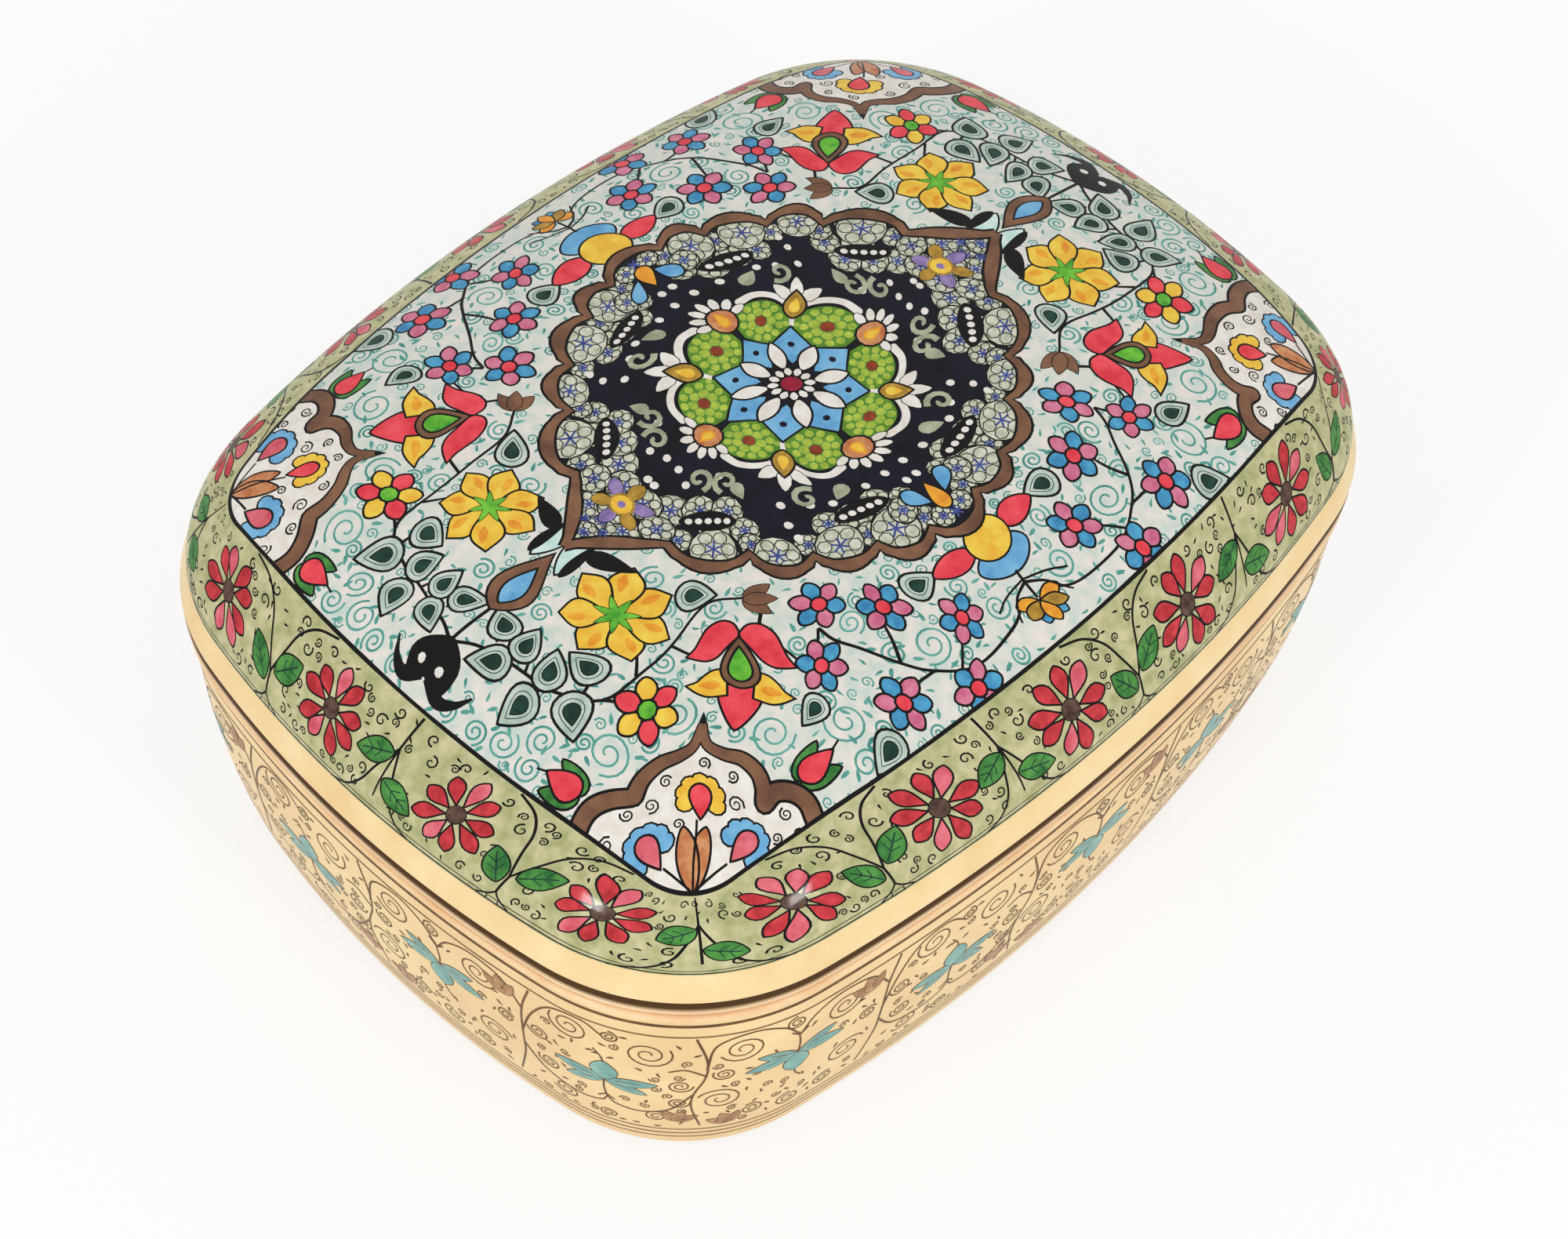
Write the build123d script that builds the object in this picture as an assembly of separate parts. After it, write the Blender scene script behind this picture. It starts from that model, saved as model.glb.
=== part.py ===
from build123d import *
import math
import os

# A Kashmiri papier mache box: an oblong body with bowed sides and round corners, and a low
# domed lid that drops over a collar and lifts straight off.
# Millimetres, +Z up, X along the long sides, origin at the centre of the underside.

# ---- the rim, where lid and body meet: eight tangent arcs
LENGTH = 160.0
WIDTH = 125.8
CORNER_RADIUS = 32.3
LONG_SIDE_BOW = 4.4          # how far the middle of a long side stands out past the corners
SHORT_SIDE_BOW = 2.5

# ---- body, heights from the underside
BODY_HEIGHT = 46.5           # underside to the parting line
COVER_THICKNESS = 0.6        # pad pasted under the base
COVER_MARGIN = 1.6           # from the foot of the wall in to the edge of the pad
FLOOR_THICKNESS = 3.2
LINING_THICKNESS = 0.6
FOOT_THICKNESS = 4.0         # of the wall at its foot
MOUTH_THICKNESS = 4.4        # of the wall at its mouth
FOOT_DRAW_IN = 4.75          # from the rim's outline in to the foot of the wall
WAIST_DRAW_IN = 1.75         # the same half way up
FOOT_ROUND = 1.2             # radius of the edge that the wall stands on

# ---- the two beads under the parting line
PARTING_GROOVE = 0.6         # between the parting line and the upper bead
UPPER_BEAD_HEIGHT = 2.5
LOWER_BEAD_HEIGHT = 1.3
BEAD_GROOVE = 0.8            # between the two beads
BEAD_STAND = 0.9             # how far the upper bead stands out from the wall
BEAD_SEAT = 0.7              # how deep both beads are let into the wall
BEAD_ROUND = 0.55            # how far a bead's edges fall back behind its crown
LOWER_BEAD_SETBACK = 0.2     # of the lower bead behind the upper one

# ---- the collar inside the mouth
COLLAR_THICKNESS = 1.8
COLLAR_STAND = 4.2           # above the parting line
COLLAR_DEPTH = 12.5          # below it
COLLAR_LEAD = 0.6            # chamfer that guides the lid on
LID_CLEARANCE = 0.3          # between the collar and the lid, all round

# ---- lid
LID_RISE = 24.0              # parting line to the crown
BAND_HEIGHT = 4.9
BAND_LEAN = 1.4              # how far the band leans in from its lower edge to its top
BAND_ROUND = 0.5             # radius of its lower edge
DOME_THICKNESS = 3.2         # at the crown

# ---- the dome's level lines turn from an oval core at the crown into the rim's outline
CORE_CORNER_RADIUS = 62.0    # of the core, at full size
CORE_FADE = 1.5              # how fast the core gives way to the rim's outline
SHOULDER_POWER = 3.75        # how flat the crown stays before the shoulder
SHOULDER_ROUND = 1.7         # how full the shoulder is
CROWN_FLAT_ANGLE = 2.0       # degrees of the dome's profile that stay flat at the crown
DOME_SECTIONS = 12

HALF_LENGTH = LENGTH / 2
HALF_WIDTH = WIDTH / 2


# ---- outlines -------------------------------------------------------------------------

CORNER_X = HALF_LENGTH - SHORT_SIDE_BOW - CORNER_RADIUS
CORNER_Y = HALF_WIDTH - LONG_SIDE_BOW - CORNER_RADIUS


def side_radius(bow, corner_offset):
    """Radius of a side that stands out by bow and runs smoothly into corner arcs whose
    centres lie corner_offset to each side of its middle."""
    reach = bow + CORNER_RADIUS
    return (corner_offset**2 + reach**2 - CORNER_RADIUS**2) / (2 * bow)


LONG_SIDE_RADIUS = side_radius(LONG_SIDE_BOW, CORNER_X)
SHORT_SIDE_RADIUS = side_radius(SHORT_SIDE_BOW, CORNER_Y)

# directions, from the X axis, in which a short side and a long side meet a corner
SHORT_END = math.atan2(CORNER_Y, CORNER_X - HALF_LENGTH + SHORT_SIDE_RADIUS)
LONG_END = math.atan2(CORNER_Y - HALF_WIDTH + LONG_SIDE_RADIUS, CORNER_X)


def oval(half_length, half_width, corner, long_side, short_side, height):
    """A level wire of eight tangent arcs, given its half sizes and its three radii."""
    short_x = half_length - short_side
    long_y = half_width - long_side
    corner_x = short_x + (short_side - corner) * math.cos(SHORT_END)
    corner_y = (short_side - corner) * math.sin(SHORT_END)
    a = math.degrees(SHORT_END)
    b = math.degrees(LONG_END)
    arcs = [
        (short_x, 0, short_side, -a, a),
        (corner_x, corner_y, corner, a, b),
        (0, long_y, long_side, b, 180 - b),
        (-corner_x, corner_y, corner, 180 - b, 180 - a),
        (-short_x, 0, short_side, 180 - a, 180 + a),
        (-corner_x, -corner_y, corner, 180 + a, 180 + b),
        (0, -long_y, long_side, 180 + b, 360 - b),
        (corner_x, -corner_y, corner, 360 - b, 360 - a),
    ]
    edges = []
    for x, y, radius, start, end in arcs:
        edges.append(Edge.make_circle(radius, Plane((x, y, height)), start, end))
    return Wire(edges)


def rim_outline(inset, height):
    """The rim's outline, moved in by inset all round."""
    return oval(
        HALF_LENGTH - inset,
        HALF_WIDTH - inset,
        CORNER_RADIUS - inset,
        LONG_SIDE_RADIUS - inset,
        SHORT_SIDE_RADIUS - inset,
        height,
    )


def plate(inset, bottom, thickness):
    """A flat board whose edge follows the rim's outline, moved in by inset."""
    return extrude(Face(rim_outline(inset, bottom)), thickness, dir=(0, 0, 1))


def ring(*curves):
    """Carry a closed profile round the rim.  Its points are (distance in from the rim's
    outline, height)."""
    edges = [edge for curve in curves for edge in curve.edges()]
    path = rim_outline(0, 0)
    along = path % 0
    inward = Vector(0, 0, 1).cross(along)
    start = Plane(origin=path @ 0, x_dir=inward, z_dir=along)
    return sweep(start * Face(Wire(edges)), path=path)


# ---- body -----------------------------------------------------------------------------

FOOT_Z = COVER_THICKNESS
FLOOR_TOP = FOOT_Z + FLOOR_THICKNESS
LINED_FLOOR = FLOOR_TOP + LINING_THICKNESS
COLLAR_BOTTOM = BODY_HEIGHT - COLLAR_DEPTH
UPPER_BEAD_TOP = BODY_HEIGHT - PARTING_GROOVE
LOWER_BEAD_TOP = UPPER_BEAD_TOP - UPPER_BEAD_HEIGHT - BEAD_GROOVE
BEADS_BOTTOM = LOWER_BEAD_TOP - LOWER_BEAD_HEIGHT

BEAD_BACK = BEAD_STAND + BEAD_SEAT
MOUTH_INSET = BEAD_STAND + MOUTH_THICKNESS
FOOT_INSET = FOOT_DRAW_IN + FOOT_THICKNESS
DOWN = (0, -1)


def base_cover():
    """The pad pasted under the base, on which the box stands."""
    return plate(FOOT_DRAW_IN + COVER_MARGIN, 0, COVER_THICKNESS)


def body_floor():
    """The pressed board glued inside the foot of the wall."""
    return plate(FOOT_INSET, FOOT_Z, FLOOR_THICKNESS)


def body_floor_lining():
    return plate(FOOT_INSET, FLOOR_TOP, LINING_THICKNESS)


def body_wall():
    """The moulded wall, with a seat for the beads outside and one for the collar inside."""
    waist_z = (BEADS_BOTTOM + FOOT_Z) / 2
    round_top = FOOT_Z + FOOT_ROUND
    outside = ThreePointArc(
        (BEAD_STAND, BEADS_BOTTOM), (WAIST_DRAW_IN, waist_z), (FOOT_DRAW_IN, round_top)
    )
    foot = CenterArc((FOOT_DRAW_IN + FOOT_ROUND, round_top), FOOT_ROUND, 180, 90)
    underside = Polyline(
        (FOOT_DRAW_IN + FOOT_ROUND, FOOT_Z), (FOOT_INSET, FOOT_Z), (FOOT_INSET, LINED_FLOOR)
    )
    inside = TangentArc((MOUTH_INSET, COLLAR_BOTTOM), (FOOT_INSET, LINED_FLOOR), tangent=DOWN)
    mouth = Polyline(
        (MOUTH_INSET, COLLAR_BOTTOM), (MOUTH_INSET, BODY_HEIGHT), (BEAD_BACK, BODY_HEIGHT),
        (BEAD_BACK, BEADS_BOTTOM), (BEAD_STAND, BEADS_BOTTOM),
    )
    return ring(outside, foot, underside, inside, mouth)


def body_wall_lining():
    """The lining of the wall, from the lined floor up to the underside of the collar."""
    outer = TangentArc((MOUTH_INSET, COLLAR_BOTTOM), (FOOT_INSET, LINED_FLOOR), tangent=DOWN)
    bottom = Line((FOOT_INSET, LINED_FLOOR), (FOOT_INSET + LINING_THICKNESS, LINED_FLOOR))
    inner = TangentArc(
        (MOUTH_INSET + LINING_THICKNESS, COLLAR_BOTTOM),
        (FOOT_INSET + LINING_THICKNESS, LINED_FLOOR),
        tangent=DOWN,
    )
    top = Line((MOUTH_INSET + LINING_THICKNESS, COLLAR_BOTTOM), (MOUTH_INSET, COLLAR_BOTTOM))
    return ring(outer, bottom, inner, top)


def bead(bottom, top, crown):
    """A D-shaped strip let into the wall, its front bulging out to the crown inset."""
    edge = crown + BEAD_ROUND
    back = Polyline((edge, bottom), (BEAD_BACK, bottom), (BEAD_BACK, top), (edge, top))
    front = ThreePointArc((edge, top), (crown, (bottom + top) / 2), (edge, bottom))
    return ring(back, front)


def body_upper_bead():
    return bead(UPPER_BEAD_TOP - UPPER_BEAD_HEIGHT, UPPER_BEAD_TOP, 0)


def body_lower_bead():
    return bead(BEADS_BOTTOM, LOWER_BEAD_TOP, LOWER_BEAD_SETBACK)


def body_collar():
    """The strip glued inside the mouth, over which the lid drops."""
    top = BODY_HEIGHT + COLLAR_STAND
    inner = MOUTH_INSET + COLLAR_THICKNESS
    return ring(Polyline(
        (MOUTH_INSET, COLLAR_BOTTOM),
        (MOUTH_INSET, top - COLLAR_LEAD),
        (MOUTH_INSET + COLLAR_LEAD, top),
        (inner, top),
        (inner, COLLAR_BOTTOM),
        (MOUTH_INSET, COLLAR_BOTTOM),
    ))


# ---- lid ------------------------------------------------------------------------------

BAND_TOP = BODY_HEIGHT + BAND_HEIGHT
BAND_INSIDE = MOUTH_INSET - LID_CLEARANCE
CROWN = BODY_HEIGHT + LID_RISE


def lid_rim_band():
    """The plain strip round the lid's mouth.  It leans in towards its top."""
    round_centre = (BAND_ROUND, BODY_HEIGHT + BAND_ROUND)
    lower_edge = CenterArc(round_centre, BAND_ROUND, 180, 90)
    rest = Polyline(
        (BAND_ROUND, BODY_HEIGHT),
        (BAND_INSIDE, BODY_HEIGHT),
        (BAND_INSIDE, BAND_TOP),
        (BAND_LEAN, BAND_TOP),
        (0, BODY_HEIGHT + BAND_ROUND),
    )
    return ring(lower_edge, rest)


def core_side_radii(half_length, half_width):
    """Long and short side radii of the core, whose arcs meet in the same directions as
    those of the rim."""
    along_x = half_length - CORE_CORNER_RADIUS
    along_y = half_width - CORE_CORNER_RADIUS
    short_x, short_y = 1 - math.cos(SHORT_END), math.sin(SHORT_END)
    long_x, long_y = math.cos(LONG_END), 1 - math.sin(LONG_END)
    scale = short_x * long_y - short_y * long_x
    long_extra = (short_x * along_y - short_y * along_x) / scale
    short_extra = (along_x * long_y - along_y * long_x) / scale
    return CORE_CORNER_RADIUS + long_extra, CORE_CORNER_RADIUS + short_extra


def dome(inset, crown):
    """A solid dome on the top of the band, with its edge moved in by inset."""
    half_length = HALF_LENGTH - inset
    half_width = HALF_WIDTH - inset
    core_long, core_short = core_side_radii(half_length, half_width)
    sections = []
    for step in range(DOME_SECTIONS):
        share = (1 - step / (DOME_SECTIONS - 1)) ** SHOULDER_ROUND
        angle = math.radians(CROWN_FLAT_ANGLE + (90 - CROWN_FLAT_ANGLE) * share)
        rise = math.cos(angle)
        level = (1 - rise**SHOULDER_ROUND) ** (1 / SHOULDER_POWER)
        rim_share = level**CORE_FADE
        core_share = 1 - rim_share
        sections.append(oval(
            level * half_length,
            level * half_width,
            level * (core_share * CORE_CORNER_RADIUS + rim_share * (CORNER_RADIUS - inset)),
            level * (core_share * core_long + rim_share * (LONG_SIDE_RADIUS - inset)),
            level * (core_share * core_short + rim_share * (SHORT_SIDE_RADIUS - inset)),
            BAND_TOP + (crown - BAND_TOP) * rise,
        ))
    return Solid.make_loft(sections)


def lid_dome():
    """The moulded shell of the dome, standing on the band."""
    return dome(BAND_LEAN, CROWN) - dome(BAND_INSIDE, CROWN - DOME_THICKNESS)


def lid_lining():
    """The lining inside the dome."""
    hollow = dome(BAND_INSIDE + LINING_THICKNESS, CROWN - DOME_THICKNESS - LINING_THICKNESS)
    return dome(BAND_INSIDE, CROWN - DOME_THICKNESS) - hollow


# ---- write each piece -----------------------------------------------------------------

PIECES = [
    base_cover, body_floor, body_floor_lining, body_wall, body_wall_lining,
    body_upper_bead, body_lower_bead, body_collar, lid_rim_band, lid_dome, lid_lining,
]

os.makedirs("parts", exist_ok=True)
for piece in PIECES:
    export_step(piece(), f"parts/{piece.__name__}.step")
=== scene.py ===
import bpy
import numpy as np
from mathutils import Matrix
from mathutils.geometry import delaunay_2d_cdt


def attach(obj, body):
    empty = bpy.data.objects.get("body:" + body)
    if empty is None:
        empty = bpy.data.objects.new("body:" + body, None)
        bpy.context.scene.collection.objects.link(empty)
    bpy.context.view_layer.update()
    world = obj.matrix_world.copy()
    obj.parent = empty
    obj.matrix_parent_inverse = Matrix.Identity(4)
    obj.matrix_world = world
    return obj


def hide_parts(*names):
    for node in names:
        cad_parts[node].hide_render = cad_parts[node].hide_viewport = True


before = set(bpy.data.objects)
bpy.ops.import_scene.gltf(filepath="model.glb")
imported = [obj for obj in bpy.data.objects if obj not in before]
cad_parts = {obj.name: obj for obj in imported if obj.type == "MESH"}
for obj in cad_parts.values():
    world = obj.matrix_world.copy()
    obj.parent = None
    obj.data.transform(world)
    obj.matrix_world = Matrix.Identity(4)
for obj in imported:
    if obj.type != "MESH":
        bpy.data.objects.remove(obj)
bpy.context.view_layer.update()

# ---------------------------------------------------------------------------------------
# The body wall: layers of paper pasted over a mould, dried, filed smooth and painted a warm
# cream gold.  It follows an oval of eight arcs and draws in towards its foot, so it is a
# ring: one profile carried round the rim.  All sizes here are millimetres.

MM = 0.001
HALF_LENGTH = 80.0
HALF_WIDTH = 62.9
CORNER_RADIUS = 32.3
LONG_SIDE_BOW = 4.4
SHORT_SIDE_BOW = 2.5

BEADS_BOTTOM = 41.3
FOOT_Z = 0.6
FOOT_INSET = 8.75
FOOT_DRAW_IN = 4.75
FOOT_ROUND = 1.2
WAIST_DRAW_IN = 1.75
WALL_FACE = 0.9              # how far in the wall's top lies from the rim's outline
BEAD_BACK = 1.6
MOUTH_INSET = 5.3
LINED_FLOOR = 4.4
COLLAR_BOTTOM = 34.0
BODY_HEIGHT = 46.5

CORNER_X = HALF_LENGTH - SHORT_SIDE_BOW - CORNER_RADIUS
CORNER_Y = HALF_WIDTH - LONG_SIDE_BOW - CORNER_RADIUS


def side_radius(bow, corner_offset):
    """Radius of a side that stands out by bow and meets corner arcs whose centres lie
    corner_offset from its middle: the chord rule for two circles that touch."""
    reach = bow + CORNER_RADIUS
    return (corner_offset**2 + reach**2 - CORNER_RADIUS**2) / (2 * bow)


LONG_SIDE_RADIUS = side_radius(LONG_SIDE_BOW, CORNER_X)
SHORT_SIDE_RADIUS = side_radius(SHORT_SIDE_BOW, CORNER_Y)
# The rim's normal turns from the short side's arc to the corner's at the first of these
# angles, in radians, and from the corner's to the long side's at the second.
SHORT_END = np.arcsin(CORNER_Y / (SHORT_SIDE_RADIUS - CORNER_RADIUS))
LONG_END = np.pi / 2 - np.arcsin(CORNER_X / (LONG_SIDE_RADIUS - CORNER_RADIUS))


def side_arcs(half_length, half_width, corner):
    """Radii of the short and the long side arcs of an oval with these half sizes and this
    corner radius, whose arcs meet in the rim's own directions: two linear equations, one
    for each half size, solved by Cramer's rule."""
    short_x, short_y = 1 - np.cos(SHORT_END), np.sin(SHORT_END)
    long_x, long_y = np.cos(LONG_END), 1 - np.sin(LONG_END)
    along_x = half_length - corner
    along_y = half_width - corner
    scale = short_x * long_y - short_y * long_x
    long_side = corner + (short_x * along_y - short_y * along_x) / scale
    short_side = corner + (along_x * long_y - along_y * long_x) / scale
    return short_side, long_side


def corner_centre(half_length, short_side, corner):
    """Where the corner arc of an oval has its centre."""
    x = half_length - short_side + (short_side - corner) * np.cos(SHORT_END)
    y = (short_side - corner) * np.sin(SHORT_END)
    return x, y


def oval(turn, half_length, half_width, corner):
    """Plan points of an oval where its outward normal has the angle turn: the centre of
    the arc that has that normal, plus the arc's radius along the normal."""
    across, along = np.abs(np.cos(turn)), np.abs(np.sin(turn))
    angle = np.arctan2(along, across)
    short_side, long_side = side_arcs(half_length, half_width, corner)
    corner_x, corner_y = corner_centre(half_length, short_side, corner)
    on_short = angle < SHORT_END
    on_long = angle > LONG_END
    radius = np.where(on_short, short_side, np.where(on_long, long_side, corner))
    x = np.where(on_short, half_length - short_side, np.where(on_long, 0, corner_x))
    y = np.where(on_short, 0, np.where(on_long, half_width - long_side, corner_y))
    x = np.copysign(x + radius * across, np.cos(turn))
    y = np.copysign(y + radius * along, np.sin(turn))
    return np.stack([x, y], -1)


def rim(turn, inset):
    """The rim's outline, moved in by inset all round."""
    return oval(turn, HALF_LENGTH - inset, HALF_WIDTH - inset, CORNER_RADIUS - inset)


ALL_TURNS = np.linspace(0, 2 * np.pi, 7201)


def travelled(line):
    """Length along a line of points, from its first one."""
    steps = np.linalg.norm(np.diff(line, axis=0), axis=1)
    return np.concatenate([[0], np.cumsum(steps)])


RIM_LENGTH = travelled(rim(ALL_TURNS, 0))
ROUND = RIM_LENGTH[-1]


def turn_at(distance):
    """Direction of the rim's normal, a distance round from the middle of the +X side."""
    return np.interp(distance % ROUND, RIM_LENGTH, ALL_TURNS)


SHARP_EDGE = 40              # degrees between two faces from which their edge shows


def new_piece(name, points, faces, body, material):
    """A mesh object at the origin, from points in millimetres, riding a body."""
    mesh = bpy.data.meshes.new(name)
    mesh.from_pydata(np.asarray(points) * MM, [], faces)
    mesh.materials.append(material)
    mesh.shade_smooth()
    mesh.set_sharp_from_angle(angle=np.radians(SHARP_EDGE))
    piece = bpy.data.objects.new(name, mesh)
    bpy.context.scene.collection.objects.link(piece)
    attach(piece, body)
    return piece


def joined_rows(rows, closed):
    """Points and quads of level rows of points, each row a loop, each joined to the next.
    A closed stack joins its last row to its first; an open one ends in two fans."""
    count, around = rows.shape[:2]
    index = np.arange(count * around).reshape(count, around)
    if closed:
        lower, upper = index, np.roll(index, -1, 0)
    else:
        lower, upper = index[:-1], index[1:]
    quads = np.stack(
        [lower, np.roll(lower, -1, 1), np.roll(upper, -1, 1), upper], -1
    ).reshape(-1, 4)
    points = rows.reshape(-1, 3)
    if closed:
        return points, quads.tolist()
    ends = [rows[0].mean(0), rows[-1].mean(0)]
    first, last = count * around, count * around + 1
    start = [(first, b, a) for a, b in zip(index[0], np.roll(index[0], -1))]
    finish = [(last, a, b) for a, b in zip(index[-1], np.roll(index[-1], -1))]
    return np.vstack([points, ends]), quads.tolist() + start + finish


AROUND = 600                 # points round a ring, 0.8 mm apart


def ring_rows(profile):
    """A row of points round the rim for each (inset, height) point of a profile."""
    turns = turn_at(np.linspace(0, ROUND, AROUND, endpoint=False))
    rows = []
    for inset, height in profile:
        plan = rim(turns, inset)
        rows.append(np.column_stack([plan, np.full(AROUND, height)]))
    return np.array(rows)


def ring_piece(name, profile, body, material):
    """A closed profile of (inset, height) points carried round the rim."""
    points, faces = joined_rows(ring_rows(profile), True)
    return new_piece(name, points, faces, body, material)


def arc_through(start, middle, end, count):
    """Points of the circle arc from start through middle to end.  Its centre is where the
    three points' perpendicular bisectors meet."""
    (ax, ay), (bx, by), (cx, cy) = start, middle, end
    d = 2 * (ax * (by - cy) + bx * (cy - ay) + cx * (ay - by))
    squares = np.array([ax**2 + ay**2, bx**2 + by**2, cx**2 + cy**2])
    ox = squares @ [by - cy, cy - ay, ay - by] / d
    oy = squares @ [cx - bx, ax - cx, bx - ax] / d
    angles = np.unwrap([np.arctan2(y - oy, x - ox) for x, y in (start, middle, end)])
    sweep = np.linspace(angles[0], angles[2], count)
    radius = np.hypot(ax - ox, ay - oy)
    return np.column_stack([ox + radius * np.cos(sweep), oy + radius * np.sin(sweep)])


def edge_round(x, y, radius, start, end, count=6):
    """Points of an arc about (x, y), from start to end degrees."""
    sweep = np.radians(np.linspace(start, end, count))
    return np.column_stack([x + radius * np.cos(sweep), y + radius * np.sin(sweep)])


def straight(start, end, count):
    """Evenly spaced points from start to end."""
    return np.linspace(start, end, count)


FACE_ARC = (
    (WALL_FACE, BEADS_BOTTOM),
    (WAIST_DRAW_IN, (BEADS_BOTTOM + FOOT_Z) / 2),
    (FOOT_DRAW_IN, FOOT_Z + FOOT_ROUND),
)


def hollow_line(inset_top, inset_foot, count):
    """The wall's inner side: an arc that leaves the collar's foot straight down and ends
    at the lined floor."""
    drop = COLLAR_BOTTOM - LINED_FLOOR
    shift = inset_foot - inset_top
    radius = (drop**2 + shift**2) / (2 * shift)
    sweep = np.linspace(0, np.arcsin(drop / radius), count)
    return np.column_stack([
        inset_top + radius * (1 - np.cos(sweep)), COLLAR_BOTTOM - radius * np.sin(sweep)
    ])


def wall_profile():
    """Down the face, round the foot, under it and up inside to the mouth."""
    return np.vstack([
        arc_through(*FACE_ARC, 40),
        edge_round(FOOT_DRAW_IN + FOOT_ROUND, FOOT_Z + FOOT_ROUND, FOOT_ROUND, 180, 270)[1:],
        [(FOOT_INSET, FOOT_Z)],
        hollow_line(MOUTH_INSET, FOOT_INSET, 12)[::-1],
        [(MOUTH_INSET, BODY_HEIGHT), (BEAD_BACK, BODY_HEIGHT), (BEAD_BACK, BEADS_BOTTOM)],
    ])


def linear(hex_colour):
    """An sRGB hex colour as linear red, green, blue and full opacity."""
    parts = np.array([int(hex_colour[i:i + 2], 16) for i in (1, 3, 5)]) / 255
    light = np.where(parts <= 0.04045, parts / 12.92, ((parts + 0.055) / 1.055) ** 2.4)
    return (*light.tolist(), 1.0)


def add_node(tree, kind, settings=(), **inputs):
    """Add a node, set its own settings and give each input a value or a link.  An input
    is named by its label in lower case with _ for a space, or as in3 by its place."""
    node = tree.nodes.new(kind)
    for key, value in dict(settings).items():
        setattr(node, key, value)
    for key, value in inputs.items():
        if key.startswith("in") and key[2:].isdigit():
            socket = node.inputs[int(key[2:])]
        else:
            names = [s.name.lower().replace(" ", "_") for s in node.inputs]
            socket = node.inputs[names.index(key)]
        if isinstance(value, bpy.types.NodeSocket):
            tree.links.new(value, socket)
        else:
            socket.default_value = value
    return node


def new_material(name):
    """An empty node material and its tree."""
    material = bpy.data.materials.new(name)
    material.use_nodes = True
    material.node_tree.nodes.clear()
    return material, material.node_tree


def mottled(tree, light, dark, grain, balance=0.5, spread=0.35):
    """Colour that drifts between two tones, as a wash does where the brush was fuller.
    grain is the usual size of a patch in millimetres."""
    place = add_node(tree, "ShaderNodeTexCoord")
    cloud = add_node(
        tree, "ShaderNodeTexNoise", vector=place.outputs["Object"],
        scale=1 / (grain * MM), detail=3.0, roughness=0.55,
    )
    ramp = add_node(tree, "ShaderNodeValToRGB", fac=cloud.outputs[0])
    ramp.color_ramp.elements[0].position = balance - spread / 2
    ramp.color_ramp.elements[0].color = linear(dark)
    ramp.color_ramp.elements[1].position = balance + spread / 2
    ramp.color_ramp.elements[1].color = linear(light)
    return ramp.outputs[0]


RIDGE = 1.2                  # spacing of the brush ridges, drawn coarse enough to show
RIDGE_DEPTH = 0.07


def varnished(name, light, dark, grain, roughness=0.45, gloss=0.28):
    """Poster colour under clear varnish: a mottled matt pigment with the brush's faint
    ridges, and a thin glossy coat on it.  Board and felt have no coat, a gloss of 0."""
    material, tree = new_material(name)
    colour = mottled(tree, light, dark, grain)
    place = add_node(tree, "ShaderNodeTexCoord")
    ridges = add_node(
        tree, "ShaderNodeTexNoise", vector=place.outputs["Object"],
        scale=1 / (RIDGE * MM), detail=2.0,
    )
    relief = add_node(
        tree, "ShaderNodeBump", height=ridges.outputs[0], distance=RIDGE_DEPTH * MM, strength=0.6
    )
    shader = add_node(
        tree, "ShaderNodeBsdfPrincipled", base_color=colour, normal=relief.outputs[0],
        roughness=roughness, specular_ior_level=0.02, coat_weight=gloss, coat_roughness=0.09,
    )
    add_node(tree, "ShaderNodeOutputMaterial", surface=shader.outputs[0])
    return material


# Cream-gold body colour under varnish, a little duller and pinker in patches.
gold_ground = varnished("cream gold body colour", "#F6DBA4", "#EDCB96", 14)

wall = ring_piece("wall_shell", wall_profile(), "box_body", gold_ground)
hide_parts("body_wall")

# ---------------------------------------------------------------------------------------
# The scrollwork on the wall: pen lines in brown and flowers in a watery teal, painted by
# hand on the gold ground.  Each mark is an outline on the unrolled wall.  The marks are cut
# into one another, so that the last one laid covers those below, and wrapped round the wall.

INK_EDGE = 0.3              # half the width of the pen line round a painted shape


def petal(length, width, lean=1.0, blunt=0.8, curl=0.0, steps=0):
    """Outline of a petal from its foot at (0, 0) to its tip at (length, 0).  At share t of
    its length it is width * sin(pi * t^lean)^blunt wide and its middle has moved sideways
    by curl * t^2.  Unless steps are given, a side has 6 and one more for each millimetre."""
    steps = steps or int(6 + length)
    t = (1 - np.cos(np.linspace(0, np.pi, steps + 1))) / 2
    half = width / 2 * np.abs(np.sin(np.pi * t**lean)) ** blunt
    middle = curl * t**2
    lower = np.column_stack([length * t, middle - half])
    upper = np.column_stack([length * t, middle + half])
    return np.vstack([lower, upper[-2:0:-1]])


def drop(length, width, steps=0):
    """A petal with a round foot and a pointed tip, centred on its middle."""
    return petal(length, width, 0.62, 0.9, 0.0, steps) - [0.42 * length, 0]


def disc(radius, count=12, centre=(0, 0)):
    """A round dab: count points at radius from its centre."""
    turn = np.arange(count) * 2 * np.pi / count
    return radius * np.column_stack([np.cos(turn), np.sin(turn)]) + centre


def at(shape, x, y, angle=0.0):
    """The shape turned by angle degrees about its own origin, then moved to (x, y)."""
    c, s = np.cos(np.radians(angle)), np.sin(np.radians(angle))
    return np.asarray(shape, float) @ [[c, s], [-s, c]] + [x, y]


def polar(radius, turn, x=0.0, y=0.0):
    """The point radius away from (x, y) in the direction turn degrees."""
    return at([[radius, 0]], x, y, turn)[0]


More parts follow.
